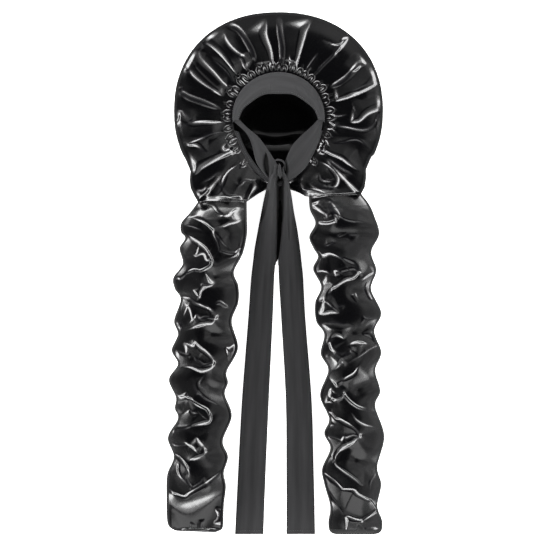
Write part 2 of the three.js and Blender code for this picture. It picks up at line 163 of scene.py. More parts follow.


# %% [markdown]
# Black polyester satin. The long floats of a satin weave lie side by side like combed hair, so the
# cloth is nearly a mirror: black where it faces the dark of the room, and bright where a ridge turns
# to a lamp. Real floats are about 0.1 mm wide, too fine to show here, so they are drawn 0.8 mm wide.
# Along each fold's light the black is painted a little lighter: a painted highlight that keeps the thin
# lines.

# %% Black polyester satin
FLOAT_WIDE = 0.8
FLOAT_LONG = 9.0
DARK, LIGHT = 6, 7  # a colour mix node's two colour inputs
MIXED = 2  # and its colour output
satin, tree = new_material("black_polyester_satin")
uv = add_node(tree, "ShaderNodeUVMap", {"uv_map": "cloth_mm"})
floats_at = add_node(tree, "ShaderNodeMapping", {"Scale": (1 / FLOAT_WIDE, 1 / FLOAT_LONG, 1), "Vector": uv})
floats = add_node(tree, "ShaderNodeTexNoise", {"Scale": 1.0, "Detail": 2.0, "Vector": floats_at})
# painted highlight: the base colour turns lighter along each fold's light
crest = add_node(tree, "ShaderNodeAttribute", {"attribute_name": "crest"}).outputs["Fac"]
black_with_painted_highlight = {"data_type": "RGBA", 0: crest, DARK: linear("#030304"), LIGHT: linear("#0e0e10")}
tone = add_node(tree, "ShaderNodeMix", black_with_painted_highlight)
smoothness = {"From Min": 0.3, "From Max": 0.7, "To Min": 0.16, "To Max": 0.21, "Value": floats}
gloss = add_node(tree, "ShaderNodeMapRange", smoothness)
relief = add_node(tree, "ShaderNodeBump", {"Strength": 0.06, "Distance": 0.0002, "Height": floats})
looks = {"IOR": 1.5, "Specular IOR Level": 0.9, "Roughness": gloss, "Normal": relief}
shader = add_node(tree, "ShaderNodeBsdfPrincipled", {**looks, "Base Color": tone.outputs[MIXED]})
add_node(tree, "ShaderNodeOutputMaterial", {"Surface": shader})

# %% [markdown]
# Charcoal crepe ribbon. The band, straps and ties are cut from the same black cloth turned to its
# back: short, twisted threads that scatter light, so it reads as an even dark grey with no ridges of
# light. Its threads are drawn as a plain weave, 0.9 mm apart, with faint streaks along the ribbon.
# Where the ribbon is tucked in on itself, at the knot and along the gap between the ties, no light comes in,
# and its colour there is painted nearly black as shade.

# %% Charcoal crepe ribbon
THREAD_APART = 0.9
STREAK_STRETCH = 0.06
ribbon, tree = new_material("charcoal_crepe_ribbon")
uv = add_node(tree, "ShaderNodeUVMap", {"uv_map": "cloth_mm"})
spacing = {"Scale": math.pi / (10 * THREAD_APART), "Distortion": 0.6, "Detail": 1.0, "Vector": uv}
warp, weft = (
    add_node(tree, "ShaderNodeTexWave", {"bands_direction": way, **spacing}).outputs["Fac"] for way in "XY"
)
weave = add_node(tree, "ShaderNodeMath", {"operation": "MAXIMUM", 0: warp, 1: weft})
lengthwise = add_node(tree, "ShaderNodeMapping", {"Scale": (1, STREAK_STRETCH, 1), "Vector": uv})
fleck = add_node(tree, "ShaderNodeTexNoise", {"Scale": 0.13, "Detail": 3.0, "Vector": lengthwise})
greys = {"data_type": "RGBA", 0: fleck, DARK: linear("#19191a"), LIGHT: linear("#363637")}
tone = add_node(tree, "ShaderNodeMix", greys)
# painted shade: where the ribbon is tucked in, its colour is mixed to near black
turned = add_node(tree, "ShaderNodeAttribute", {"attribute_name": "tuck_painted_shade"}).outputs["Fac"]
tucked = {"data_type": "RGBA", 0: turned, DARK: tone.outputs[MIXED], LIGHT: linear("#020202")}
faces = add_node(tree, "ShaderNodeMix", tucked)
relief = add_node(tree, "ShaderNodeBump", {"Strength": 0.25, "Distance": 0.0002, "Height": weave})
looks = {"Roughness": 0.7, "IOR": 1.5, "Specular IOR Level": 0.08, "Normal": relief}
looks |= {"Sheen Weight": 0.02, "Sheen Roughness": 0.5, "Base Color": faces.outputs[MIXED]}
shader = add_node(tree, "ShaderNodeBsdfPrincipled", looks)
add_node(tree, "ShaderNodeOutputMaterial", {"Surface": shader})

# %% [markdown]
# Folds. Gathered cloth lies in rolls that overlap: each roll swells gently on one side and turns over
# and down on the other, and the thin light runs where it turns. A cloth simulation makes such folds,
# but not these folds. So each fold is a short path along its light, seen from above, in millimetres.
# Beside its kind stands the side on which the cloth drops away, looking along the path. The highest
# roll wins at each point, softly, so two that meet run together in a Y. Small folds ride on the rolls.

# %% Kinds of fold
# Three values in brackets are at the path's start, middle and end. high: how far the roll stands up. turn:
# how far across it takes to turn down. gentle: how far its other side reaches. both: the most that half its
# width is where it drops on both sides. tapers: the share of its length over which each end fades.
TAPERS = (0.35, 0.35)
KINDS = table(
    ("kind", "high", "turn", "gentle", "both", "tapers"),
    ("bright", (3.0, 3.6, 3.0), (4.6, 7.6, 4.6), 24, 2.4, TAPERS),
    ("flare", (3.0, 4.6, 5.6), (5.2, 11.0, 15.0), 26, 5.0, (0.12, 0.3)),
    ("crisp", (1.8, 2.0, 1.8), (4.0, 5.5, 4.0), 15, 2.4, TAPERS),
    ("broad", (3.0, 3.4, 3.0), (5.0, 8.0, 5.0), 18, 3.2, TAPERS),
    ("faint", (1.1, 1.2, 1.1), (2.2, 3.2, 2.2), 11, 1.7, TAPERS),
    ("facet", (3.2, 3.6, 3.2), (7.0, 10.5, 7.0), 20, 4.0, TAPERS),
    ("gather", (2.8, 3.3, 2.8), (4.4, 4.6, 4.4), 4, 2.7, TAPERS),
)
KIND_OF = {row["kind"]: row for row in KINDS}
SMALL_KINDS = ("crisp", "faint", "gather")
THIN = 0.6  # a fold that drops on both sides is this much narrower
LOW = 0.42  # and this much lower
LIT_SLOPE = 0.7  # the path follows the line where the cloth has turned down this far
JOINED = 3.0  # ends nearer than this to another fold run into it
PATH_FINE = 6  # a path has this many fine points for each traced one
END_NARROW = 0.35  # a fold's width at its very tip, where its height is nothing
GENTLE_BEND = 1.5
TUCK_AFTER = 0.6  # this far past its light the cloth tucks in under the roll, so the light ends sharply
TUCK_BEND = 3
# how wide the painted highlight is along each fold's light, in millimetres
PAINTED_HIGHLIGHT_WIDE = 2


def curve_through(points, count):
    """A smooth curve through a few points, sampled evenly in its parameter."""
    points = np.asarray(points, float)
    before = np.vstack([2 * points[0] - points[1], points, 2 * points[-1] - points[-2]])
    at = np.linspace(0, len(points) - 1, count)
    first = np.minimum(at.astype(int), len(points) - 2)
    t = (at - first)[:, None]
    p0, p1, p2, p3 = (before[first + k] for k in range(4))
    square, cube = 2 * p0 - 5 * p1 + 4 * p2 - p3, 3 * p1 - p0 - 3 * p2 + p3
    return 0.5 * (2 * p1 + (p2 - p0) * t + square * t**2 + cube * t**3)


def nearest_on_line(where, line):
    """Distance to a polyline, the side it is on (1 is left, -1 right), and how far along, from 0 to 1."""
    best = np.full(len(where), 1e9)
    side, along = np.zeros(len(where)), np.zeros(len(where))
    pieces = len(line) - 1
    for k in range(pieces):
        step = line[k + 1] - line[k]
        share = np.clip((where - line[k]) @ step / max(step @ step, 1e-9), 0, 1)
        away = where - line[k] - share[:, None] * step
        distance = np.hypot(*away.T)
        nearer = distance < best
        best[nearer] = distance[nearer]
        turned = (step[0] * away[:, 1] - step[1] * away[:, 0]) / np.maximum(distance * np.hypot(*step), 1e-9)
        side[nearer] = turned[nearer]
        along[nearer] = ((k + share) / pieces)[nearer]
    return best, side, along


def fade_ends(along, start, end):
    """1 on a path, fading to 0 over these shares of its length at its two ends."""
    return smooth_step(along, -0.01, start) * smooth_step(1 - along, -0.01, end)


def prepare(folds):
    """Each fold as a fine line, with how much each of its ends tapers."""
    lines = [curve_through(path, PATH_FINE * len(path)) for _, path in folds]
    made = []
    for i, (name, _) in enumerate(folds):
        kind, drops = name.split()
        tapers = []
        for end, taper in zip((lines[i][0], lines[i][-1]), KIND_OF[kind]["tapers"]):
            near = [nearest_on_line(end[None], other)[0][0] for j, other in enumerate(lines) if j != i]
            tapers.append(0.0 if min(near) < JOINED else taper)
        made.append({**KIND_OF[kind], "line": lines[i], "drops": drops, "tapers": tapers})
    return made


def roll_height(across, high, turn, gentle):
    """Height of a roll that turns down on the positive side. across is the distance from its light."""
    from_top = across + LIT_SLOPE * turn**2 / (2 * high)
    tucked = TUCK_BEND * (np.maximum(across - TUCK_AFTER, 0) / turn) ** 2
    return np.where(
        from_top < 0,
        high * np.maximum(1 + np.minimum(from_top, 0) / gentle, 0) ** GENTLE_BEND,
        high * np.maximum(1 - (from_top / turn) ** 2 - tucked, 0),
    )


def fold_field(where, folds):
    """How far the folds lift the cloth at each point, in millimetres, and how near it is to a fold's light,
    for the painted highlight.
    """
    rolls, small, crest = (np.zeros(len(where)) for _ in range(3))
    for fold in folds:
        line, reach = fold["line"], fold["gentle"] + max(fold["turn"])
        near = np.all((where > line.min(0) - reach) & (where < line.max(0) + reach), axis=1)
        if not near.any():
            continue
        distance, side, along = nearest_on_line(where[near], line)
        start, end = fold["tapers"]
        ends = fade_ends(along, start + 1e-3, end + 1e-3)
        narrow = mix(END_NARROW, 1, ends)
        high, turn = (np.interp(along, (0, 0.5, 1), fold[key]) for key in ("high", "turn"))
        turn = turn * narrow
        if fold["drops"] == "both":
            height = high * LOW * np.maximum(1 - (distance / np.minimum(THIN * turn, fold["both"])) ** 2, 0)
        else:
            dropped = side if fold["drops"] == "left" else -side
            down = roll_height(distance, high, turn, fold["gentle"] * narrow)
            up = roll_height(-distance, high, turn, fold["gentle"] * narrow)
            height = mix(up, down, (1 + dropped) / 2)
        total = small if fold["drops"] == "both" or fold["kind"] in SMALL_KINDS else rolls
        total[near] += (ends * height) ** 4
        # painted highlight: nearness to the fold's light, which lightens the base colour there
        crest[near] = np.maximum(crest[near], ends * np.exp(-((distance / PAINTED_HIGHLIGHT_WIDE) ** 2)))
    return rolls**0.25 + small**0.25, crest


# %% [markdown]
# The crown. On the table it is a puffed ring round the face opening: gathered tightly at the seam
# line, a full crest, and a soft rim. It could be a simulated bag of air, but the ridges must lie where
# they lie on this cap. So a section is swept round the opening first, and the folds lift it.

# %% Sizes of the crown
# The seam line's lower half is narrower towards the nape, and the crown's rim is cut flatter there.
SEAM = {"half_wide": 66.5, "up": 63.5, "down": 101.5, "middle_y": -7, "high": 46, "nape_high": 34}
NAPE_POWERS = (1.7, 0.62)  # how the seam line narrows towards the nape
CROWN = {"half_wide": 151, "up": 143, "down": 138, "squareness": 2.2, "nape_cut": 23, "nape_spread": 30}
CROWN_COLUMNS = 720
COLUMN_TURNS = np.arange(CROWN_COLUMNS) * 360 / CROWN_COLUMNS
FULL_RING = 60
NARROW_PUFF = 0.5  # a narrow stretch of the ring stands up more than in step with its width


def superellipse(angle, half_wide, half_high, squareness):
    across = np.abs(np.cos(angle) / half_wide) ** squareness
    along = np.abs(np.sin(angle) / half_high) ** squareness
    return (across + along) ** (-1 / squareness)


def rim_point(degrees):
    angle = np.radians(degrees)
    half_high = np.where(np.sin(angle) > 0, CROWN["up"], CROWN["down"])
    from_nape = np.abs((np.asarray(degrees) + 270) % 360 - 180)
    cut = CROWN["nape_cut"] * bell(from_nape, 0, CROWN["nape_spread"])
    radius = superellipse(angle, CROWN["half_wide"], half_high, CROWN["squareness"]) - cut
    return np.stack([radius * np.cos(angle), radius * np.sin(angle)], -1)


def seam_point(degrees):
    cos, sin = np.cos(np.radians(degrees)), np.sin(np.radians(degrees))
    depth = np.maximum(0, -sin)
    width = np.where(sin > 0, np.abs(cos), (1 - depth ** NAPE_POWERS[0]) ** NAPE_POWERS[1])
    x = SEAM["half_wide"] * np.sign(cos) * width
    y = SEAM["middle_y"] + np.where(sin > 0, SEAM["up"], SEAM["down"]) * sin
    return np.stack([x, y, mix(SEAM["high"], SEAM["nape_high"], depth**2)], -1)


seam_turns = np.linspace(-180, 180, 1441)
seam_line = seam_point(seam_turns)
seam_seen = np.degrees(np.unwrap(np.arctan2(seam_line[:, 1], seam_line[:, 0])))


def seam_at(degrees):
    """The seam line's point in a direction from the origin."""
    direction = (np.asarray(degrees, float) - seam_seen[0]) % 360 + seam_seen[0]
    return np.stack([np.interp(direction, seam_seen, seam_line[:, k]) for k in range(3)], -1)


# The crown's outer edge where it runs down into a sleeve: direction from the origin, and point.
ROOTS = table(
    ("turn", "x", "y"),
    (206, -134, -70), (212, -127, -87), (217, -128.5, -99), (221, -127, -111), (225, -121, -123),
    (227, -117, -130.5), (252, -46, -130.5), (256, -30, -119.5), (264, -12, -110.5), (270, 1, -110.5),
    (276, 12, -110.5), (283, 27, -117.5), (287, 38, -122.5), (289, 45, -124), (315, 119, -120),
    (318, 124.5, -110), (323, 126.5, -97), (328, 126.5, -84), (335, 134, -66),
)
MOUTHS = [(227, 252), (289, 315)]


def outline_at(degrees):
    """The crown's outer edge for each direction, seen from above."""
    degrees = np.asarray(degrees, float) % 360
    rim = rim_point(degrees)
    turn = [row["turn"] for row in ROOTS]
    inside = (degrees >= turn[0]) & (degrees <= turn[-1])
    edges = [np.interp(degrees, turn, [row[key] for row in ROOTS]) for key in ("x", "y")]
    return np.stack([np.where(inside, edges[k], rim[:, k]) for k in range(2)], -1)


# %% The crown's folds
CROWN_FOLDS = [
    # over the brow, to the left
    ("flare both", [(5, 62), (5, 91), (2, 113), (0, 137)]),
    ("flare right", [(-8, 64), (-11, 87), (-17, 108), (-20, 133)]),
    ("flare both", [(-33, 70), (-39, 87), (-54, 112), (-66, 121), (-79, 123)]),
    ("crisp right", [(-42, 73), (-60, 86), (-74, 102), (-80, 115)]),
    ("broad left", [(-45, 58), (-54, 70), (-61, 81)]),
    ("flare left", [(-58, 51), (-79, 76), (-94, 90), (-107, 96), (-115, 89)]),
    ("flare right", [(-71, 30), (-92, 55), (-108, 73), (-114, 87), (-109, 96)]),
    ("faint left", [(-62, 36), (-73, 53), (-86, 66), (-99, 79)]),
    ("crisp right", [(-110, 93), (-104, 106)]),
    ("broad left", [(-114, 87), (-124, 82)]),
    # left side
    ("flare left", [(-79, 21), (-105, 36), (-125, 51), (-132, 58)]),
    ("broad right", [(-129, 56), (-133, 70)]),
    ("crisp left", [(-131, 56), (-144, 49)]),
    ("flare both", [(-83, 2), (-107, 11), (-129, 19), (-139, 24), (-148, 19)]),
    ("crisp right", [(-138, 24), (-139, 36)]),
    ("flare right", [(-77, -18), (-105, -16), (-124, -15), (-132, -8), (-139, -2), (-149, -1)]),
    ("broad left", [(-123, -15), (-139, -24), (-149, -35)]),
    ("faint right", [(-71, -32), (-92, -32), (-122, -44), (-131, -49)]),
    ("broad right", [(-129, -49), (-119, -51), (-109, -58), (-90, -63)]),
    ("crisp left", [(-57, -39), (-77, -49), (-75, -56), (-59, -51)]),
    ("flare left", [(-60, -58), (-84, -68), (-107, -81), (-125, -93)]),
    # over the brow, to the right
    ("faint left", [(15, 59), (16, 82)]),
    ("flare right", [(25, 64), (31, 85), (39, 110), (46, 134)]),
    ("faint left", [(37, 54), (46, 70), (59, 85)]),
    ("crisp both", [(54, 51), (61, 62), (80, 81), (94, 102)]),
    ("flare right", [(83, 84), (93, 93), (100, 105), (89, 100)]),
    ("flare both", [(74, 33), (91, 42), (106, 55), (119, 73)]),
    ("broad right", [(108, 57), (130, 67)]),
    # right side
    ("flare right", [(80, 14), (103, 20), (129, 30), (143, 40)]),
    ("crisp left", [(99, 23), (120, 35), (142, 42)]),
    ("faint left", [(72, -1), (84, -7), (100, -6)]),
    ("flare right", [(102, -16), (116, -15), (129, -5), (144, 0), (146, -3)]),
    ("crisp left", [(80, -20), (101, -24), (121, -27), (134, -22), (142, -9), (146, -2)]),
    ("faint right", [(72, -46), (91, -46), (114, -43), (133, -56)]),
    ("crisp left", [(72, -14), (80, -20)]),
    ("crisp left", [(74, -26), (80, -20)]),
    ("crisp left", [(61, -51), (65, -57)]),
    ("crisp right", [(58, -58), (65, -57)]),
    # into the left sleeve
    ("bright right", [(-48, -72), (-73, -89), (-83, -106), (-88, -118), (-98, -123)]),
    ("bright left", [(-82, -107), (-76, -116), (-68, -121), (-51, -122)]),
    ("faint left", [(-113, -106), (-98, -97), (-82, -86)]),
    ("broad left", [(-122, -116), (-109, -114), (-100, -107)]),
    ("crisp both", [(-62, -112), (-54, -105), (-48, -100), (-36, -101), (-30, -97)]),
    # into the right sleeve
    ("bright right", [(65, -57), (77, -63), (90, -69), (102, -77), (120, -88)]),
    ("crisp left", [(67, -68), (79, -74), (95, -85), (108, -93)]),
    ("bright left", [(54, -72), (69, -79), (81, -89), (86, -98), (84, -107), (79, -111)]),
    ("bright left", [(30, -97), (53, -105), (69, -111), (79, -111)]),
    ("crisp left", [(58, -87), (61, -98), (72, -101), (82, -103)]),
    ("crisp left", [(25, -106), (37, -112), (47, -113), (61, -117), (71, -124)]),
]

# %% The sleeves' folds
LEFT_FOLDS = [
    ("bright right", [(-113, -133), (-104, -134), (-95, -137), (-88, -145), (-80, -150)]),
    ("bright left", [(-80, -150), (-74, -150), (-68, -146), (-55, -138)]),
    ("bright right", [(-131, -153), (-122, -154), (-112, -158), (-103, -163), (-95, -170)]),
    ("crisp right", [(-95, -170), (-79, -167), (-70, -164), (-61, -161), (-46, -151)]),
    ("crisp right", [(-95, -170), (-94, -178), (-88, -184), (-81, -191), (-68, -199)]),
    ("faint right", [(-93, -180), (-89, -189), (-85, -201)]),
    ("crisp both", [(-85, -201), (-78, -203), (-69, -205), (-61, -204)]),
    ("broad left", [(-61, -204), (-56, -199), (-58, -214)]),
    ("faint right", [(-139, -164), (-129, -166), (-119, -169), (-106, -172)]),
    ("bright left", [(-138, -174), (-129, -181), (-119, -187), (-109, -194), (-102, -202), (-96, -214)]),
    ("bright both", [(-96, -214), (-98, -222), (-105, -227), (-113, -230), (-122, -229), (-132, -233)]),
    ("crisp right", [(-123, -205), (-119, -209), (-109, -207), (-106, -213), (-102, -216), (-97, -213)]),
    ("crisp left", [(-132, -233), (-135, -238), (-141, -243), (-147, -242), (-151, -252)]),
    ("bright left", [(-89, -246), (-97, -251), (-106, -254), (-112, -260), (-114, -268)]),
    ("faint right", [(-123, -256), (-120, -262), (-114, -268)]),
    ("faint left", [(-112, -248), (-103, -251)]),
    ("bright left", [(-143, -265), (-137, -269), (-127, -270), (-119, -276), (-109, -281), (-100, -285)]),
    ("broad both", [(-93, -280), (-85, -276), (-78, -280), (-70, -284)]),
    ("bright left", [(-100, -285), (-93, -290), (-89, -297)]),
    ("bright left", [(-89, -297), (-95, -306), (-103, -307), (-112, -309), (-122, -311), (-136, -317)]),
    ("crisp both", [(-92, -298), (-97, -298), (-104, -297), (-109, -298), (-114, -301), (-120, -303)]),
    ("faint left", [(-120, -303), (-125, -299), (-129, -285), (-136, -276)]),
    ("crisp left", [(-119, -291), (-115, -295), (-112, -299)]),
    ("faint left", [(-150, -301), (-140, -307), (-141, -318)]),
    ("bright left", [(-124, -328), (-121, -333), (-112, -341), (-105, -346), (-95, -356), (-93, -364)]),
    ("bright left", [(-93, -364), (-97, -371), (-108, -375), (-115, -374), (-129, -368), (-146, -369)]),
    ("crisp left", [(-139, -335), (-131, -335), (-124, -337), (-121, -334)]),
    ("crisp left", [(-149, -344), (-141, -347), (-131, -349), (-126, -347)]),
    ("crisp both", [(-121, -348), (-119, -357), (-112, -363), (-108, -366), (-102, -365), (-93, -362)]),
    ("broad left", [(-77, -342), (-70, -341), (-61, -336)]),
    (
        "crisp right",
        [(-123, -383), (-122, -392), (-119, -403), (-112, -410), (-104, -416), (-91, -421), (-76, -430)],
    ),
    ("crisp left", [(-107, -379), (-113, -389), (-112, -395), (-108, -399), (-100, -406)]),
    ("bright left", [(-154, -401), (-148, -408), (-143, -412), (-135, -412), (-128, -414)]),
    ("bright both", [(-128, -414), (-122, -419), (-112, -425), (-103, -430), (-98, -439)]),
    ("crisp left", [(-132, -403), (-130, -410), (-128, -414)]),
    ("crisp left", [(-128, -428), (-124, -433), (-114, -437)]),
    ("bright left", [(-98, -439), (-98, -445), (-102, -449), (-112, -451), (-122, -453), (-131, -456)]),
    ("bright left", [(-131, -456), (-142, -459), (-149, -462), (-154, -464)]),
    ("bright left", [(-145, -441), (-144, -449), (-141, -453), (-128, -452)]),
    ("bright left", [(-121, -468), (-115, -475), (-108, -482), (-105, -489)]),
    ("bright left", [(-105, -489), (-107, -495), (-113, -499), (-120, -501), (-127, -501), (-131, -505)]),
    ("crisp right", [(-133, -479), (-126, -484), (-119, -490), (-112, -495)]),
    ("faint both", [(-154, -479), (-146, -481), (-134, -480)]),
    ("bright left", [(-153, -490), (-149, -495), (-142, -499), (-136, -506), (-131, -513)]),
    ("crisp left", [(-131, -513), (-128, -523), (-130, -530), (-125, -541)]),
    ("bright both", [(-150, -509), (-144, -509), (-144, -517), (-141, -525), (-135, -532), (-126, -541)]),
    ("crisp left", [(-154, -511), (-158, -525), (-160, -535), (-158, -543), (-150, -551)]),
    (
        "bright left",
        [(-150, -551), (-136, -555), (-128, -550), (-109, -539), (-100, -533), (-84, -521), (-72, -509)],
    ),
    ("crisp left", [(-123, -541), (-116, -536), (-111, -532), (-107, -526)]),
    ("facet right", [(-90, -570), (-89, -584), (-94, -597)]),
    ("faint left", [(-129, -607), (-128, -599), (-126, -590)]),
    ("faint right", [(-109, -605), (-109, -597), (-106, -587)]),
]
RIGHT_FOLDS = [
    ("bright right", [(36, -114), (47, -115), (59, -119), (69, -125), (76, -131)]),
    ("bright left", [(76, -131), (82, -139), (87, -148), (86, -159)]),
    ("broad right", [(45, -133), (52, -139), (60, -145), (69, -150)]),
    ("broad left", [(69, -150), (72, -142), (73, -133)]),
    ("bright left", [(73, -133), (77, -142), (81, -149), (82, -158)]),
    ("bright both", [(55, -160), (63, -161), (72, -161), (82, -158)]),
    ("faint right", [(88, -152), (96, -157), (107, -160), (118, -160), (139, -164)]),
    ("faint right", [(85, -177), (87, -183)]),
    ("faint left", [(98, -179), (108, -178), (118, -179)]),
    ("faint right", [(63, -194), (71, -194), (78, -191), (85, -188)]),
    ("bright left", [(51, -200), (57, -203), (63, -208), (72, -206), (81, -208), (92, -213)]),
    ("bright right", [(92, -213), (103, -218), (111, -223), (117, -231)]),
    ("bright left", [(117, -231), (109, -240), (98, -244), (88, -249), (79, -255)]),
    ("crisp left", [(115, -233), (109, -229), (98, -231), (90, -233), (82, -237)]),
    ("broad left", [(82, -237), (81, -230), (90, -233)]),
    ("faint right", [(52, -232), (60, -231), (70, -233), (78, -238)]),
    ("crisp left", [(79, -255), (75, -261), (72, -267), (71, -274)]),
    ("crisp right", [(63, -249), (72, -250), (79, -253)]),
    ("faint right", [(116, -246), (126, -240), (136, -234), (142, -231)]),
    ("faint right", [(128, -245), (124, -256), (130, -270), (139, -273)]),
    ("faint left", [(103, -266), (112, -261)]),
    ("crisp right", [(55, -274), (65, -275), (73, -280), (82, -287)]),
    ("bright right", [(56, -291), (66, -292), (77, -290), (88, -290)]),
    ("faint left", [(79, -279), (87, -281), (98, -280)]),
    ("facet left", [(60, -308), (70, -306), (81, -304), (96, -308), (111, -310)]),
    ("faint left", [(120, -295), (128, -298), (146, -299)]),
    ("bright left", [(96, -330), (92, -326), (83, -324), (77, -327), (73, -333)]),
    ("bright right", [(73, -333), (75, -341), (79, -347), (88, -356), (91, -361)]),
    ("bright left", [(96, -341), (103, -336), (111, -333), (120, -334), (130, -337)]),
    ("bright left", [(103, -347), (97, -353), (91, -361), (86, -367), (75, -376)]),
    ("broad left", [(83, -348), (92, -349), (103, -347)]),
    ("broad right", [(119, -320), (130, -324), (139, -332), (146, -336)]),
    ("faint left", [(146, -336), (131, -344), (123, -350), (98, -364)]),
    ("faint left", [(67, -320), (64, -333), (61, -345), (62, -353)]),
    ("faint both", [(68, -354), (74, -351)]),
    ("bright right", [(118, -365), (114, -371), (108, -378), (99, -383), (88, -388), (79, -389)]),
    ("broad left", [(92, -389), (89, -395), (83, -401)]),
    ("bright right", [(79, -397), (74, -403), (73, -410), (79, -415)]),
    ("bright right", [(79, -415), (87, -416), (92, -413), (94, -407)]),
    ("bright both", [(94, -407), (98, -413), (105, -420), (114, -426), (126, -430), (144, -437)]),
    ("faint right", [(66, -420), (79, -420)]),
    ("crisp left", [(64, -430), (73, -433), (83, -442)]),
    ("bright left", [(76, -435), (82, -442), (88, -444), (96, -448), (106, -454), (113, -460), (117, -467)]),
    ("bright left", [(117, -467), (108, -477), (98, -483), (88, -489), (82, -496), (80, -503)]),
    ("crisp right", [(80, -503), (82, -510), (90, -517), (101, -525), (110, -531), (119, -537), (127, -539)]),
    ("crisp right", [(71, -453), (77, -454), (82, -451)]),
    ("faint left", [(68, -468), (78, -469), (90, -474)]),
    ("crisp left", [(90, -474), (94, -468), (97, -469), (107, -466), (113, -468)]),
    ("faint right", [(71, -501), (77, -498)]),
    ("crisp left", [(102, -432), (110, -442), (119, -448), (129, -453), (142, -457)]),
    ("faint right", [(129, -432), (139, -437), (144, -443), (144, -450)]),
    ("bright left", [(65, -523), (69, -534), (71, -544), (77, -555), (84, -566), (93, -581)]),
    ("bright left", [(67, -523), (74, -528), (82, -534), (92, -545)]),
    ("bright left", [(92, -545), (101, -545), (109, -546), (115, -552), (124, -557), (132, -561)]),
    ("bright both", [(132, -561), (137, -569), (140, -575), (136, -579), (127, -585), (119, -590)]),
    ("bright right", [(119, -590), (110, -588), (102, -585), (94, -584)]),
    ("faint both", [(143, -516), (137, -526), (132, -535), (131, -548)]),
    ("broad left", [(120, -603), (130, -600), (144, -602)]),
    ("faint left", [(111, -609), (112, -602), (115, -595)]),
]

# %% [markdown]
# The gathers. Each tuck at the seam line makes a small loop of cloth, about 6 mm wide and 11 mm long,
# with a dark pit inside. They are placed by a rule, with a fixed seed for their small differences.

# %% Gathers along the seam line
GATHERS = 40
GATHERS_END = -72  # below this the knot and the ties press them flat
GATHER_LONG, GATHER_HALF_WIDE, GATHER_TAIL = (8.5, 13.5), (2.5, 3.2), (8, 18)
gather_random = np.random.default_rng(7)


def gather_folds():
    folds = []
    for i in range(GATHERS):
        turn = 360 * (i + 0.3 * gather_random.uniform(-1, 1)) / GATHERS
        long, half = gather_random.uniform(*GATHER_LONG), gather_random.uniform(*GATHER_HALF_WIDE)
        foot = seam_at([turn])[0, :2]
        if foot[1] < GATHERS_END:
            continue
        outward = foot / np.linalg.norm(foot)
        aside = np.array([-outward[1], outward[0]])
        side = [(0.5 * half, 0), (half, long * 0.3), (0.9 * half, long * 0.75)]
        loop = [(-a, b) for a, b in side] + [(0, long)] + side[::-1]
        folds.append(("gather both", [foot + aside * a + outward * b for a, b in loop]))
        tail = [(0, long), (gather_random.uniform(-1, 1), long + gather_random.uniform(*GATHER_TAIL))]
        folds.append(("faint both", [foot + aside * a + outward * b for a, b in tail]))
    return folds


# %% The crown's section
# reach runs from 0 at the seam line to 1 at the rim. high is the top of the puff, at_mouth where the
# crown runs into a sleeve. The front ends at a soft crease, and the side begins there.
SECTION_COLUMNS = ("reach", "high", "at_mouth")
FRONT = table(
    SECTION_COLUMNS,
    (0, 46.5, 46.5),
    (0.02, 46.8, 46.8),
    (0.1, 47.8, 47.8),
    (0.4, 51.4, 50),
    (0.7, 51.6, 48),
    (0.945, 49, 44.5),
)
SIDE = table(
    SECTION_COLUMNS,
    (0.945, 49, 44.5),
    (0.985, 42.5, 43.5),
    (1.0, 32, 43),
    (1.0, 20, 30),
    (0.97, 8, 10),
    (0.88, 1, 1),
)
SECTION_SCALE = 85
FRONT_FINE, SIDE_FINE = 1200, 400
FINE_LENGTH = 18  # the gathers need rows this close
FINE_STEP = 0.6
COARSE_STEP = 1.45
SEAM_FADE = 11  # the folds start out of the gathers
RIM_FADE = 10  # the folds run down to nothing over the last millimetres before the rim


def section_stations():
    """Points down the section, and which of them is the crease."""
    parts = []
    for rows, steps in ((FRONT, FRONT_FINE), (SIDE, SIDE_FINE)):
        points = [[row["reach"] * SECTION_SCALE, row["high"], row["at_mouth"]] for row in rows]
        fine = curve_through(points, steps)
        walked = summed(np.hypot(*np.diff(fine[:, :2], axis=0).T))
        near_seam = np.arange(0, FINE_LENGTH, FINE_STEP) if rows is FRONT else np.zeros(0)
        start = FINE_LENGTH if rows is FRONT else 0
        coarse = np.linspace(start, walked[-1], int((walked[-1] - start) / COARSE_STEP))
        at = np.concatenate([near_seam, coarse])
        parts.append(np.stack([np.interp(at, walked, fine[:, k]) for k in range(3)], -1))
    return np.concatenate([parts[0], parts[1][1:]]), len(parts[0]) - 1


def crown_grid():
    """The smooth crown, before its folds: one row for each station of the section."""
    seam, outline = seam_at(COLUMN_TURNS), outline_at(COLUMN_TURNS)
    width = np.hypot(*(outline - seam[:, :2]).T)
    puff = np.minimum(1, width / FULL_RING) ** NARROW_PUFF
    mouth = np.zeros(CROWN_COLUMNS)
    for low, high in MOUTHS:
        starts = smooth_step(COLUMN_TURNS, low - 1, low + 3)
        mouth = np.maximum(mouth, starts * smooth_step(-COLUMN_TURNS, -high - 1, -high + 3))
    rows = []
    stations, crease_row = section_stations()
    for reach, high, at_mouth in stations:
        reach = min(reach / SECTION_SCALE, 1)
        full = mix(high, at_mouth, mouth) + (seam[:, 2] - SEAM["high"]) * (1 - reach)
        low_line = mix(seam[:, 2], 0, reach)
        height = mix(low_line, np.maximum(full, 0), puff)
        rows.append(np.column_stack([mix(seam[:, :2], outline, reach), height]))
    to_rim = np.array([(1 - np.hypot(*(row[:, :2] - seam[:, :2]).T) / width) * width for row in rows])
    return np.array(rows), to_rim, mouth, crease_row


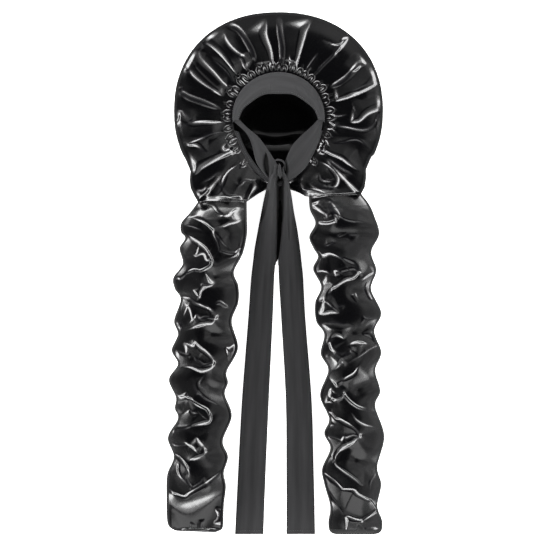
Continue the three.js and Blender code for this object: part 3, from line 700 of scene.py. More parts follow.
# The folds run on down the crown's side as soft pleats, deepest a third of the way up. They are placed by
# a rule, with a fixed seed, and none lies where a sleeve begins.
PLEATS = 38
PLEAT_DEEP = 2.6
PLEAT_WIDE = 2.1  # in degrees
PLEAT_TOP = 0.7  # they reach up to this share of the crown's height
PLEAT_SPREAD = (1.6, 0.8)  # and widen downwards
pleat_random = np.random.default_rng(11)
PLEAT_TURNS = 360 * (np.arange(PLEATS) + 0.55 * pleat_random.uniform(-1, 1, PLEATS)) / PLEATS
PLEAT_SHARES = pleat_random.uniform(0.45, 1, PLEATS)
PLEAT_LEANS = pleat_random.uniform(-3, 3, PLEATS)


def side_pleats(heights, mouth):
    """How far the crown's side is drawn in, in millimetres, for its heights and each column."""
    up = np.clip(heights / FRONT[-1]["high"], 0, 1)
    total = np.zeros(heights.shape)
    for turn, share, lean in zip(PLEAT_TURNS, PLEAT_SHARES, PLEAT_LEANS):
        off = (COLUMN_TURNS[None] - turn - lean * (1 - up) + 180) % 360 - 180
        wide = PLEAT_WIDE * (PLEAT_SPREAD[0] - PLEAT_SPREAD[1] * up)
        total = np.maximum(total, share * bell(off, 0, wide))
    return PLEAT_DEEP * total * np.sin(math.pi * np.clip(up / PLEAT_TOP, 0, 1)) * (1 - mouth)


# Where a leg of the crown is sewn to its sleeve the cloth dips: how deep, and how far off the dip starts
# on each side. The two reaches run into one another round the ends of the line.
REACH_TURN = (-0.2, 0.2)
VALLEYS = table(
    ("line", "deep", "crown_side", "sleeve_side"),
    ([(-124, -130.5), (-58, -130.5)], 4.6, 7.5, 26),
    ([(62, -123), (126, -119.6)], 3.4, 2.4, 16),
)


def seam_valley(points):
    dips = []
    for valley in VALLEYS:
        away, side, _ = nearest_on_line(points.reshape(-1, 2), np.array(valley["line"]))
        reach = mix(valley["sleeve_side"], valley["crown_side"], smooth_step(side, *REACH_TURN))
        dips.append(valley["deep"] * np.maximum(0, 1 - away / reach))
    return np.max(dips, axis=0).reshape(points.shape[:-1])


all_folds = prepare(CROWN_FOLDS + LEFT_FOLDS + RIGHT_FOLDS)
crown_points, to_rim, mouth_share, crown_crease = crown_grid()
spots = crown_points[..., :2].reshape(-1, 2)
lift, crest = fold_field(spots, all_folds)
lift, crest = lift.reshape(to_rim.shape), crest.reshape(to_rim.shape)
from_seam = np.hypot(*(crown_points[..., :2] - crown_points[0, :, :2]).transpose(2, 0, 1))
by_seam = from_seam[: int(FINE_LENGTH / FINE_STEP)]
tucks, _ = fold_field(crown_points[: len(by_seam), :, :2].reshape(-1, 2), prepare(gather_folds()))
lift *= smooth_step(from_seam, 1, SEAM_FADE)
lift[: len(by_seam)] += tucks.reshape(by_seam.shape)
rim_row = int(to_rim.mean(1).argmin())
on_top = (np.arange(len(crown_points)) <= rim_row)[:, None]
shown = np.maximum(np.clip(to_rim / RIM_FADE, 0, 1), mouth_share) * on_top
crown_points[..., 2] += lift * shown - seam_valley(crown_points[..., :2]) * mouth_share * on_top
crest = crest * shown
side = crown_points[crown_crease + 1 :]
side[..., :2] -= unit(side[..., :2]) * side_pleats(side[..., 2], mouth_share)[..., None]

# %% [markdown]
# The crown's back lies on the table, and shows again through the face opening. One soft fold lies
# across it there. Its rings run in to the middle, where they close.

# %% The crown's back
BACK_SHOWN = 0.56  # the opening shows the back out to this share of its width
BACK_RISE = 9  # towards the nape the cloth rides up on the seam behind it
RISE_FROM = (28, 60)  # this far below the middle it begins, and is full
RISE_ACROSS = (-90, -30)  # and this far off the middle line it ends, and is full
RISE_DOWN = (-110, -80)  # it comes down again before the nape
BACK_HIGH = 1
BACK_LINE = [(-46, -16), (-30, -33), (-12, -42), (8, -41), (27, -33), (44, -20)]
BACK_FOLD = {"high": 3.8, "wide": 7, "down_at": 50, "fade": 0.4}  # down_at: how far below its line it ends
BACK_RINGS = (7, 27)  # out of sight, and in sight
BACK_FINE = 30
shares = [np.linspace(1, BACK_SHOWN, BACK_RINGS[0])[1:-1], np.linspace(BACK_SHOWN, 0, BACK_RINGS[1])]
back = np.array([crown_points[-1] * [[1, 1, 0]] * share for share in np.concatenate(shares)[:, None]])
away, side_of, along = nearest_on_line(back[..., :2].reshape(-1, 2), curve_through(BACK_LINE, BACK_FINE))
below, wide = -away * side_of, BACK_FOLD["wide"]
step = smooth_step(below, -wide, wide) * (1 - smooth_step(below, wide, BACK_FOLD["down_at"]))
back_lift = BACK_FOLD["high"] * step * fade_ends(along, BACK_FOLD["fade"], BACK_FOLD["fade"])
rise = BACK_RISE * smooth_step(-back[..., 1], *RISE_FROM) * smooth_step(-np.abs(back[..., 0]), *RISE_ACROSS)
back[..., 2] = BACK_HIGH + back_lift.reshape(back.shape[:2]) + rise * smooth_step(back[..., 1], *RISE_DOWN)
crown_points = np.concatenate([crown_points, back])
crest = np.concatenate([crest, np.zeros(back.shape[:2])])

open_column = np.zeros(CROWN_COLUMNS, bool)
for low, high in MOUTHS:
    open_column |= (COLUMN_TURNS > low + 0.5) & (COLUMN_TURNS < high - 0.5)


def not_in_mouth(faces):
    row, column = faces[:, 0] // CROWN_COLUMNS, faces[:, 0] % CROWN_COLUMNS
    in_wall = (row >= rim_row) & (row < len(to_rim) - 1)
    return ~(in_wall & open_column[column])


def front_crease(ends):
    return np.all(ends // CROWN_COLUMNS == crown_crease, axis=1) & ~open_column[ends[:, 0] % CROWN_COLUMNS]


crown = cloth_mesh(
    "crown_satin",
    crown_points,
    satin,
    closed=True,
    flip=True,
    keep=not_in_mouth,
    attributes={"crest": crest},
    crease=front_crease,
)
print("crown faces:", len(crown.data.polygons), "rim row", rim_row)

# %% [markdown]
# The sleeves. Each is a tube for a lock of hair, ruched on thread, so its edges run in and out. The
# outline is a table of points down each edge, read against the photo, and the folds cross the front.
# At its top the tube slips just under the crown's edge, where the two are sewn together.

# %% Sleeve outlines
# x and y down the left edge, then down the right edge. The first two points are under the crown's hem.
LEFT_SLEEVE = {
    "left": [
        (-117, -124), (-117, -131), (-128, -146), (-140.5, -161), (-141, -174), (-135, -183),
        (-143, -198), (-138.5, -220), (-152, -240), (-150, -256), (-141.5, -272), (-151, -302),
        (-145.5, -322), (-154.5, -345), (-145.5, -365), (-158.5, -387), (-148.5, -413), (-150, -429),
        (-145.5, -444), (-160, -471), (-151.5, -499), (-161, -525), (-162, -560), (-161.5, -588),
        (-159, -599), (-154, -606),
    ],
    "right": [
        (-46, -124), (-46, -131), (-45.7, -150), (-45.7, -178), (-52, -206), (-64.5, -232), (-58, -252),
        (-58, -276), (-67.5, -304), (-58.5, -342), (-74.5, -375), (-73, -392), (-77.5, -409), (-67.5, -440),
        (-80.5, -476), (-73, -499), (-79, -522), (-76, -542), (-79, -570), (-80, -608),
    ],
}
RIGHT_SLEEVE = {
    "left": [
        (45, -117), (44, -124), (45.5, -142), (53.3, -161.5), (44.5, -181), (50.8, -198), (57, -210),
        (50, -228), (61.6, -253), (53, -276), (54.5, -303), (66, -322), (61, -350), (71.8, -374),
        (60, -410), (73, -444), (66, -465), (74.7, -487), (63, -516), (66, -538), (74.7, -571),
        (72, -594), (74, -612),
    ],
    "right": [
        (117, -111), (119, -118), (131, -134), (139, -152), (145.6, -177), (134.3, -203), (141.5, -230),
        (134, -257), (148.6, -291), (138.5, -317.5), (148.6, -348), (140, -374), (147.2, -404), (140, -426),
        (153, -469), (143, -513), (148.6, -539), (143, -570), (150, -592), (149, -612),
    ],
}
SLEEVE_ROWS = 490
SLEEVE_TOP = 140  # points over the front of a ring
SLEEVE_UNDER = 42  # and under it
SLEEVE_HIGH = [
    (-110, 42.5), (-135, 43), (-165, 46), (-300, 45.5), (-450, 45.5), (-520, 45.5), (-560, 44), (-590, 42),
    (-602.5, 41),
]
SLEEVE_FINE = 800
EDGE_FINE = 40
DOME = 8  # how far the front slopes down from its middle to its edges
DOME_SHARE = 0.2  # and the most of the sleeve's height that this may be
SHOULDER = 0.9  # past this share of the half width the front turns down to the edge
SHOULDER_DROP = 0.3  # how much of that turn is there at once, as a crease
UNDER_SQUARENESS = 4.0
UNDER_FULL = 1.2  # the underside is pressed flat on the table
FRONT_SHOWN = (0.1, 0.7)  # up the side of a ring the folds fade in between these heights
END_ROUND = 9
END_CREASE = -602.5  # here the front turns down to the sewn end
SLEEVE_END = [(-603.5, 38), (-606, 31), (-609, 20), (-612, 7)]
# Between two puffs the thread pulls a valley across the sleeve: its line, and how deep it is.
SLEEVE_VALLEYS = table(
    ("line", "deep"),
    ([(-92, -240), (-62, -234)], 3.5),
    ([(-95, -322), (-75, -325), (-62, -320)], 3.5),
    ([(-98, -400), (-76, -405)], 3),
    ([(56, -177), (95, -180), (141, -180)], 3.5),
    ([(110, -260), (136, -257)], 3),
    ([(108, -320), (139, -318)], 3),
    ([(114, -398), (141, -384)], 3),
    ([(112, -502), (144, -512)], 3),
)
VALLEY_WIDE = 11
VALLEY_FINE = 24
# Where the end of a sleeve slopes down: a line across it, the slope below it, and where it falls furthest.
END_SLOPES = {
    "sleeve_left_satin": {"line": [(-148, -568), (-92, -551)], "slope": 0.5, "deepest_x": -124, "deep": 13},
    "sleeve_right_satin": {"line": [(112, -604), (146, -606)], "slope": 0.5, "deepest_x": 130, "deep": 1},
}
END_SOFT = 2.0
END_REACH = (10, 16)  # it dies away this far past the line's two ends
SLEEVE_CALM = 6  # the folds die away towards the sewn end
HEM_GAP = 0.5  # a sleeve's top edge lies this far under the crown's
HEM_DOWN = (118, 140)  # and comes up again between these distances down the cap


# %% Building a sleeve
def ring_section():
    """One ring from its right edge over the front: side and up, both from -1 to 1, and its creases."""
    side = np.cos(np.linspace(0, math.pi, 6001))
    past = np.clip((np.abs(side) - SHOULDER) / (1 - SHOULDER), 0, 1)
    front = 1 - SHOULDER_DROP * past - (1 - SHOULDER_DROP) * (1 - np.sqrt(1 - past**2))
    back = (1 - np.abs(side) ** UNDER_SQUARENESS) ** (1 / UNDER_SQUARENESS)
    parts, creases = [], []
    for up, count in ((front, SLEEVE_TOP), (back, SLEEVE_UNDER)):
        walked = summed(np.hypot(np.diff(side), 0.5 * np.diff(up)))
        at = np.linspace(0, walked[-1], count + 1)[:-1]
        if up is front:
            for corner in (SHOULDER, -SHOULDER):
                crease_at = np.interp(-corner, -side, walked)
                creases.append(int(np.abs(at - crease_at).argmin()))
                at[creases[-1]] = crease_at
        parts.append((np.interp(at, walked, side), np.interp(at, walked, up)))
    (over, rise), (under, fall) = parts
    return np.concatenate([over, -under]), np.concatenate([rise, -np.minimum(1, UNDER_FULL * fall)]), creases


def edge_line(points, at):
    """x and y at shares of the way down one edge. The shares follow y, so both edges keep level."""
    fine = curve_through(points, EDGE_FINE * len(points))
    y = mix(points[0][1], points[-1][1], at)
    return np.stack([np.interp(-y, -fine[:, 1], fine[:, 0]), y], -1)


def end_drop(x, y, where):
    """How far a sleeve's end has sloped down at each point, in millimetres."""
    (start, high_start), (end, high_end) = where["line"]
    line_y = np.interp(x, (start, end), (high_start, high_end))
    share = np.interp(x, (start - END_REACH[0], where["deepest_x"], end + END_REACH[1]), (0, 1, 0))
    most = where["deep"] * smooth_step(share, 0, 1) + 0.01
    below = END_SOFT * np.logaddexp(0, (line_y - y) / END_SOFT)
    return most * (1 - np.exp(-where["slope"] * below / most))


def valley_drop(spots):
    """How far the ruching pulls the cloth down at each point, in millimetres."""
    drops = []
    for valley in SLEEVE_VALLEYS:
        away, _, _ = nearest_on_line(spots, curve_through(valley["line"], VALLEY_FINE))
        drops.append(valley["deep"] * bell(away, 0, VALLEY_WIDE))
    return np.max(drops, axis=0)


def make_sleeve(name, outline):
    side, up, creases = ring_section()
    columns = len(side)
    at = np.linspace(0, 1, SLEEVE_ROWS)
    left, right = edge_line(outline["left"], at), edge_line(outline["right"], at)
    share = ((1 + side) / 2)[None]
    x, y = (mix(left[:, None, k], right[:, None, k], share) for k in range(2))
    row_y = y.mean(axis=1)
    end_row = int(np.abs(row_y - END_CREASE).argmin())
    knots = np.concatenate([curve_through(SLEEVE_HIGH, SLEEVE_FINE), SLEEVE_END])
    knots[SLEEVE_FINE - 1 :, 0] += row_y[end_row] - END_CREASE
    high = np.interp(-row_y, -knots[:, 0], knots[:, 1])[:, None]
    dome = high - np.minimum(DOME, DOME_SHARE * high) * side**2
    z = dome * (1 + up) / 2
    above = np.clip(y - y[-1].mean(), 0, END_ROUND)
    inset = END_ROUND - np.sqrt(END_ROUND**2 - (END_ROUND - above) ** 2)
    x = x - inset * side
    spots = np.stack([x, y], -1).reshape(-1, 2)
    lift, crest = fold_field(spots, all_folds)
    lift, crest = (lift - valley_drop(spots)).reshape(x.shape), crest.reshape(x.shape)
    shown = smooth_step(up, *FRONT_SHOWN)[None] * smooth_step(y - y[-1].mean(), 2, SLEEVE_CALM)
    under_hem = HEM_GAP * (1 - smooth_step(-y, *HEM_DOWN)) + seam_valley(np.stack([x, y], -1))
    fallen = end_drop(x, y, END_SLOPES[name])
    points = np.stack([x, y, z + (lift - fallen) * shown - under_hem * (up > 0)], -1)
    middle = points[-1].mean(0)
    points = np.concatenate([points, [mix(points[-1], middle, 0.5), np.tile(middle, (len(side), 1))]])
    crest = np.concatenate([crest * shown, np.zeros((2, len(side)))])

    def creased(ends):
        edge_lines = np.any([np.all(ends % columns == column, axis=1) for column in creases], axis=0)
        return edge_lines | np.all((ends // columns == end_row) & (ends % columns < SLEEVE_TOP), axis=1)

    sleeve = cloth_mesh(
        name, points, satin, closed=True, flip=True, attributes={"crest": crest}, crease=creased
    )
    print(name, "faces:", len(sleeve.data.polygons))
    return sleeve


sleeve_left = make_sleeve("sleeve_left_satin", LEFT_SLEEVE)
sleeve_right = make_sleeve("sleeve_right_satin", RIGHT_SLEEVE)

# %% [markdown]
# Ribbon pieces. The band, binding, straps and ties are flat cloth folded double, with soft edges. One
# helper gives any surface a thickness that rounds off at its two long edges.

# %% Ribbons with soft edges
RIBBON_THICK = 2.0
EDGE_POWER = 10  # the higher, the squarer a ribbon's edge
EDGE_LEAST = 0.02
TUCK_SIDES = (0.5, 1.3)  # a tuck's wall stands between these shares of its half width


def surface_normals(points):
    along = np.gradient(points, axis=0)
    across = np.gradient(points, axis=1)
    normal = np.cross(along, across)
    return normal / np.maximum(np.linalg.norm(normal, axis=2, keepdims=True), 1e-9)


def ribbon_piece(name, points, thick=RIBBON_THICK, folds=(), tucks=(), edge_painted_shade=0.0):
    """A closed ribbon over a grid of points: along its length, then across it.
    tucks are short folds pressed down and painted dark as shade: a line, half width, depth and darkness. The
    edge argument paints shade on the columns turned in."""
    points = points.copy()
    flat_spots = points[..., :2].reshape(-1, 2)
    lift, _ = fold_field(flat_spots, prepare(folds))
    points[..., 2] += lift.reshape(points.shape[:2])
    turned = np.zeros(points.shape[:2]) + edge_painted_shade
    for tuck in tucks:
        away, _, along = nearest_on_line(flat_spots, np.array(tuck["line"], float))
        half = tuck["half_wide"] * np.sqrt(np.maximum(np.sin(math.pi * np.clip(along, 0.02, 0.98)), 0))
        inner, outer = TUCK_SIDES
        share = (1 - smooth_step(away, inner * half, outer * half)).reshape(turned.shape)
        points[..., 2] -= tuck["deep"] * share
        # painted shade on the tucked cloth, as dark as the tuck's last column says
        turned = np.maximum(turned, tuck["painted_shade"] * share)
    normal = surface_normals(points)
    across = np.linspace(-1, 1, points.shape[1])
    half = thick / 2 * np.sqrt(np.maximum(1 - np.abs(across) ** EDGE_POWER, EDGE_LEAST))[None, :, None]
    loop = np.concatenate([points + normal * half, (points - normal * half)[:, ::-1]], axis=1)
    turned = np.concatenate([turned, turned[:, ::-1]], axis=1)
    ends = [loop[k : k + 1 or None].mean(1, keepdims=True).repeat(loop.shape[1], 1) for k in (0, -1)]
    loop = np.concatenate([ends[0], loop, ends[1]])
    turned = np.concatenate([turned[:1], turned, turned[-1:]])
    return cloth_mesh(name, loop, ribbon, closed=True, attributes={"tuck_painted_shade": turned})


# %% The brow band and the nape binding
FACE_EDGE_HIGH = 72
# The band's free edge, from its right end to the middle of the brow. The left half mirrors it.
FACE_EDGE = [(57.3, -14.2), (50.8, 0.7), (39.5, 10.8), (29.5, 17.8), (19.4, 22.4), (9.2, 23.3), (0, 23.3)]
BAND_CLEAR = 0.8
BINDING_WIDE = 7
BINDING_THICK = 1.6
BINDING_INSET = 0.2
BINDING_RISE = 1.5
BINDING_MIDDLE = -50  # the binding's width runs in towards this y on the cap's middle line
BAND_BELLY = 3.5
BAND_BELLY_OUT = 0.6
BAND_SIZE = (300, 60)  # points along and across
BINDING_SIZE = (220, 12)
BAND_FOLDS = [
    ("faint both", [(-12, 39), (-12, 34), (-11, 25)]),
    ("faint both", [(20, 40), (27, 30), (33, 18)]),
    ("faint both", [(32, 38), (40, 28), (46, 14)]),
]


def band_grid(along, across):
    seam = seam_point(np.linspace(-5, 185, along))
    outward = unit(seam[:, :2] - [0, SEAM["middle_y"]])
    seam[:, :2] -= outward * BAND_CLEAR
    edge = FACE_EDGE + [(-x, y) for x, y in FACE_EDGE[-2::-1]]
    free = curve_through([(x, y, FACE_EDGE_HIGH) for x, y in edge], along)
    share = np.linspace(0, 1, across)[None, :, None]
    points = seam[:, None] * (1 - share) + free[:, None] * share
    belly = BAND_BELLY * np.sin(math.pi * share)
    points[..., :2] += outward[:, None] * belly * BAND_BELLY_OUT
    points[..., 2:] += belly
    return points


def binding_grid(along, across):
    seam = seam_point(np.linspace(192, 348, along))
    outward = unit(seam[:, :2] - [0, BINDING_MIDDLE])
    share = np.linspace(0, 1, across)[None, :, None]
    flat = seam[:, None, :2] - outward[:, None] * (BINDING_INSET + BINDING_WIDE * share)
    return np.concatenate([flat, seam[:, None, 2:] + BINDING_RISE * share], -1)


band_points, binding_points = band_grid(*BAND_SIZE), binding_grid(*BINDING_SIZE)
band = ribbon_piece("brow_band_ribbon", band_points, folds=BAND_FOLDS)
binding = ribbon_piece("nape_binding_ribbon", binding_points, BINDING_THICK)

# %% [markdown]
# Straps, knot and ties. The band's two ends come down to the nape and are tied once. Below the knot
# the ribbons fall apart as two long ties that lie flat on the table.

# %% Straps
STRAP_EDGES = {
    "left": {
        "upper": [(-57.5, -13, 70), (-43, -27, 67), (-29, -38, 64), (-17, -54, 61), (-1, -78, 58)],
        "lower": [(-63.5, -15.5, 48), (-47, -31, 48), (-38.5, -48, 47), (-31, -76, 46.5), (-12, -102, 46)],
    },
    "right": {
        "upper": [(57.5, -13, 70), (47, -23.5, 68), (33, -36, 65), (19.5, -51, 62), (8, -76, 59)],
        "lower": [(63.5, -15.5, 48), (59, -38, 50), (50, -62, 48), (36, -85, 46), (14, -101, 46)],
    },
}
STRAP_BELLY = 3
STRAP_SIZE = (130, 44)
# the last column says how dark the tuck is painted, as shade
TUCK_COLUMNS = ("line", "half_wide", "deep", "painted_shade")
STRAP_TUCKS = {
    "left": table(TUCK_COLUMNS, ([(-18, -60), (-17.5, -76), (-14, -95)], 4.8, 3.4, 1)),
    "right": table(TUCK_COLUMNS, ([(10.5, -71), (11, -85), (10, -96)], 2.8, 2.6, 1)),
}


def strap_grid(edges, facing, along, across):
    upper, lower = curve_through(edges["upper"], along), curve_through(edges["lower"], along)
    share = np.linspace(0, 1, across)[None, :, None]
    if facing < 0:
        share = 1 - share
    points = lower[:, None] * (1 - share) + upper[:, None] * share
    run = np.linspace(0, 1, along)[:, None]
    points[..., 2] += STRAP_BELLY * np.sin(math.pi * share[..., 0]) * np.sin(math.pi * run)
    return points


strap_left = ribbon_piece(
    "strap_left_ribbon", strap_grid(STRAP_EDGES["left"], 1, *STRAP_SIZE), tucks=STRAP_TUCKS["left"]
)
strap_right = ribbon_piece(
    "strap_right_ribbon", strap_grid(STRAP_EDGES["right"], -1, *STRAP_SIZE), tucks=STRAP_TUCKS["right"]
)

# %% Ties
# From the knot to the free end: x of the two edges, height, how far the folded cloth arches, and how
# much of its inner edge is tucked down into the gap between the ties.
TIE_COLUMNS = ("y", "left", "right", "high", "arch", "tuck")
LEFT_TIE = table(
    TIE_COLUMNS,
    (-89, -7, 0, 54, 5, 1),
    (-98, -13, -3.5, 50, 9, 6),
    (-110, -17, -3.8, 45, 7, 7.6),
    (-124, -20.5, -3.8, 36, 6, 7.6),
    (-146, -25, -3.8, 22, 6, 7.6),
    (-172, -30, -3.8, 12, 5, 6.4),
    (-200, -35, -4.2, 7, 4, 5.2),
    (-213, -36.5, -4.6, 5.3, 3.2, 4.2),
    (-222, -37.6, -5.2, 4.2, 2.5, 0),
    (-243, -40, -6.5, 2.5, 1.5, 0),
    (-300, -44, -8.5, 1, 0.5, 0),
    (-417, -53, -14, 1, 0, 0),
    (-520, -58.5, -18.5, 1, 0, 0),
    (-612, -63, -22, 1, 0, 0),
)
RIGHT_TIE = table(
    TIE_COLUMNS,
    (-89, 3, 8, 54, 4, 1),
    (-98, 8.5, 13, 50, 7, 4.5),
    (-110, 8.6, 16, 45, 7, 5.8),
    (-124, 8.6, 19, 36, 6, 5.8),
    (-146, 8.3, 22.5, 22, 6, 5.5),
    (-172, 6, 27.5, 12, 5, 3.6),
    (-200, 3, 31.5, 7, 4, 2.2),
    (-213, 0.8, 33, 5.3, 3.2, 1.2),
    (-222, 0.4, 34, 4.2, 2.5, 0),
    (-243, 0.7, 36, 2.5, 1.5, 0),
    (-300, 4, 39, 1, 0.5, 0),
    (-417, 10.5, 48, 1, 0, 0),
    (-520, 11.5, 51, 1, 0, 0),
    (-612, 11.5, 53, 1, 0, 0),
)
TIE_SIZE = (420, 30)
TIE_FINE = 600
TIE_TUCKS = {
    "left": table(TUCK_COLUMNS, ([(-14, -114), (-19, -132), (-25, -158)], 5, 2.4, 0.7)),
    "right": table(TUCK_COLUMNS, ([(13.5, -118), (15, -150), (16, -185)], 2, 0.9, 0.35)),
}
TUCK_POINTS = 6  # the tucked edge has this many points across
TUCK_STEEP = 6
TUCK_REST = 2.4


def tie_grid(rows, inner, along, across):
    """inner is the side of the tie that faces the other one: 1 is its right edge, -1 its left. The tucked
    edge of the right tie rests on that of the left one."""
    fine = curve_through([[row[key] for key in TIE_COLUMNS] for row in rows], TIE_FINE)
    at = np.linspace(rows[0]["y"], rows[-1]["y"], along)
    left, right, high, arch, tuck = (np.interp(-at, -fine[:, 0], fine[:, k])[:, None] for k in range(1, 6))
    share = np.linspace(0, 1, across)[None, :]
    lift = np.maximum(0, arch) * (1 - (2 * share - 1) ** 2)
    x, z = mix(left, right, share), np.maximum(high, RIBBON_THICK / 2) + lift
    down, lowest = np.linspace(0, 1, TUCK_POINTS + 1)[1:] * np.maximum(tuck, 0), RIBBON_THICK / 2
    if inner > 0:
        x, z = np.hstack([x, x[:, -1:] + down]), np.hstack([z, z[:, -1:] - TUCK_STEEP * down])
    else:
        down, lowest = down[:, ::-1], RIBBON_THICK / 2 + smooth_step(tuck, 0, 0.6) * TUCK_REST
        x, z = np.hstack([x[:, :1] - down, x]), np.hstack([z[:, :1] - TUCK_STEEP * down, z])
    return np.stack([x, np.repeat(at[:, None], x.shape[1], 1), np.maximum(z, lowest)], -1)


left_points, right_points = tie_grid(LEFT_TIE, 1, *TIE_SIZE), tie_grid(RIGHT_TIE, -1, *TIE_SIZE)
# the tucked inner edge of each tie is painted dark, as shade
tuck_painted_shade = np.r_[np.zeros(TIE_SIZE[1]), np.ones(TUCK_POINTS)][None]
tie_left = ribbon_piece("tie_left_ribbon", left_points, tucks=TIE_TUCKS["left"], edge_painted_shade=tuck_painted_shade)
tie_right = ribbon_piece(
    "tie_right_ribbon", right_points, tucks=TIE_TUCKS["right"], edge_painted_shade=tuck_painted_shade[:, ::-1]
)

# %% The knot
# Each strand is a flattened roll of ribbon along a short path: x, y, z and its half width.
KNOT_STRANDS = [
    [
        (-5.5, -72.5, 60, 0.9), (-2, -71, 62, 1.4), (3, -71.6, 62.5, 1.5), (6.5, -73.6, 61, 1.3),
        (7.4, -76.5, 59, 1),
    ],
    [(-3.5, -75, 58, 2), (-3.5, -83, 61, 2.7), (-5, -91, 58, 3.1), (-7.5, -99, 53, 3.3)],
    [(1.2, -76, 62, 1.2), (1.4, -84, 65, 2.7), (2, -92, 62, 2.5), (2.6, -98, 57, 1)],
    [(7.4, -80, 56, 1.2), (6.8, -87, 58, 1.5), (8.2, -95, 55, 2.2), (11, -101, 51, 2.8)],
]
STRAND_SIZE = (48, 28)
STRAND_FLATTEN = 0.75


def strand_rings(strand, along, sides):
    line = curve_through(strand, along)
    heading = unit(np.gradient(line[:, :3], axis=0))
    aside = unit(np.cross(heading, [0, 0, 1]))
    up = np.cross(aside, heading)
    turn = np.linspace(0, 2 * math.pi, sides, endpoint=False)[None, :, None]
    ends = np.sqrt(np.maximum(1 - np.linspace(-1, 1, along) ** 6, 0.0))[:, None, None]
    ring = np.cos(turn) * aside[:, None] + STRAND_FLATTEN * np.sin(turn) * up[:, None]
    return line[:, None, :3] + line[:, 3][:, None, None] * ends * ring


strands = [
    cloth_mesh("strand", strand_rings(strand, *STRAND_SIZE), ribbon, closed=True, flip=True)
    for strand in KNOT_STRANDS
]
with bpy.context.temp_override(active_object=strands[0], selected_editable_objects=strands):
    bpy.ops.object.join()
knot = strands[0]
knot.name = knot.data.name = "knot_ribbon"
print("knot faces:", len(knot.data.polygons))

# %% [markdown]
# Stitches. A sewing machine lays the same short stitch over and over along a line. Here too each line
# is a few points on the cloth, and one node tree lays stitches along it: thread that dips at both
# ends, with small seeded differences in length.

# %% Black polyester thread
# It is twisted and shiny, so a stitch is a small light dash on the matt ribbon.
thread, tree = new_material("black_polyester_thread")
place = add_node(tree, "ShaderNodeTexCoord").outputs["Object"]
waves = {"Scale": 900.0, "Distortion": 1.0, "Vector": place}
twist = add_node(tree, "ShaderNodeTexWave", waves).outputs["Fac"]
darks = {"data_type": "RGBA", 0: twist, DARK: linear("#161618"), LIGHT: linear("#303034")}
tone = add_node(tree, "ShaderNodeMix", darks)
relief = add_node(tree, "ShaderNodeBump", {"Strength": 0.2, "Distance": 0.0001, "Height": twist})
looks = {"Roughness": 0.42, "IOR": 1.5, "Specular IOR Level": 0.5, "Normal": relief}
shader = add_node(tree, "ShaderNodeBsdfPrincipled", {**looks, "Base Color": tone.outputs[MIXED]})
add_node(tree, "ShaderNodeOutputMaterial", {"Surface": shader})

# %% A node tree for a row of stitches
STITCH = {"Stitch Length": 0.0023, "Stitch Gap": 0.0009, "Thread Radius": 0.00024, "Seed": 5}
STITCH["Thread"] = thread
SOCKETS = {"Seed": "NodeSocketInt", "Thread": "NodeSocketMaterial"}
stitching = bpy.data.node_groups.new("running_stitch", "GeometryNodeTree")
stitching.interface.new_socket("Geometry", in_out="INPUT", socket_type="NodeSocketGeometry")
inputs = {
    key: stitching.interface.new_socket(key, in_out="INPUT", socket_type=SOCKETS.get(key, "NodeSocketFloat"))
    for key in STITCH
}
stitching.interface.new_socket("Geometry", in_out="OUTPUT", socket_type="NodeSocketGeometry")
given = add_node(stitching, "NodeGroupInput").outputs
line = add_node(stitching, "GeometryNodeMeshToCurve", {"Mesh": given["Geometry"]})
apart = {"operation": "ADD", 0: given["Stitch Length"], 1: given["Stitch Gap"]}
pitch = add_node(stitching, "ShaderNodeMath", apart)
spaced = add_node(stitching, "GeometryNodeResampleCurve", {"mode": "LENGTH", "Curve": line, "Length": pitch})
tangent = add_node(stitching, "GeometryNodeInputTangent")
along = add_node(stitching, "FunctionNodeAlignRotationToVector", {"axis": "X", "Vector": tangent})
chance = {"data_type": "FLOAT", 2: 0.44, 3: 0.52, 8: given["Seed"]}
uneven = add_node(stitching, "FunctionNodeRandomValue", chance)
halved = {"operation": "MULTIPLY", 0: given["Stitch Length"], 1: uneven.outputs[1]}
half = add_node(stitching, "ShaderNodeMath", halved)
radius = given["Thread Radius"]
size = add_node(stitching, "ShaderNodeCombineXYZ", {"X": half, "Y": radius, "Z": radius})
bead = add_node(stitching, "GeometryNodeMeshUVSphere", {"Segments": 8, "Rings": 6, "Radius": 1.0})
laying = {"Points": spaced, "Instance": bead, "Rotation": along, "Scale": size}
laid = add_node(stitching, "GeometryNodeInstanceOnPoints", laying)
real = add_node(stitching, "GeometryNodeRealizeInstances", {"Geometry": laid})
dyed = add_node(stitching, "GeometryNodeSetMaterial", {"Geometry": real, "Material": given["Thread"]})
add_node(stitching, "NodeGroupOutput", {"Geometry": dyed})


def stitch_lines(name, lines):
    """Rows of stitches along lines of points in millimetres, as one plain mesh."""
    points, edges = [], []
    for row in lines:
        edges += [(len(points) + k, len(points) + k + 1) for k in range(len(row) - 1)]
        points += (np.asarray(row) * MM).tolist()
    guide_mesh = bpy.data.meshes.new(name + "_line")
    guide_mesh.from_pydata(points, edges, [])
    guide = new_object(name + "_line", guide_mesh)
    modifier = guide.modifiers.new("stitches", "NODES")
    modifier.node_group = stitching
    for key, value in STITCH.items():
        modifier[inputs[key].identifier] = value
    sewn = guide.evaluated_get(bpy.context.evaluated_depsgraph_get())
    mesh = bpy.data.meshes.new_from_object(sewn)
    mesh.shade_smooth()
    bpy.data.objects.remove(guide)
    return new_object(name, mesh)


# %% The sewn lines
STITCH_IN = 2.6  # how far a line of stitches runs inside the ribbon's edge
HEM = 5.5  # how far the hem's line is from a tie's end
BINDING_SEWN = 6  # the binding's column with the stitches


def line_down(points, column, thick):
    return points[:, column] + surface_normals(points)[:, column] * thick / 2


def line_across(points, y, thick):
    row = int(np.abs(points[:, 0, 1] - y).argmin())
    return (points[row] + [0, 0, thick / 2])[1:-1]


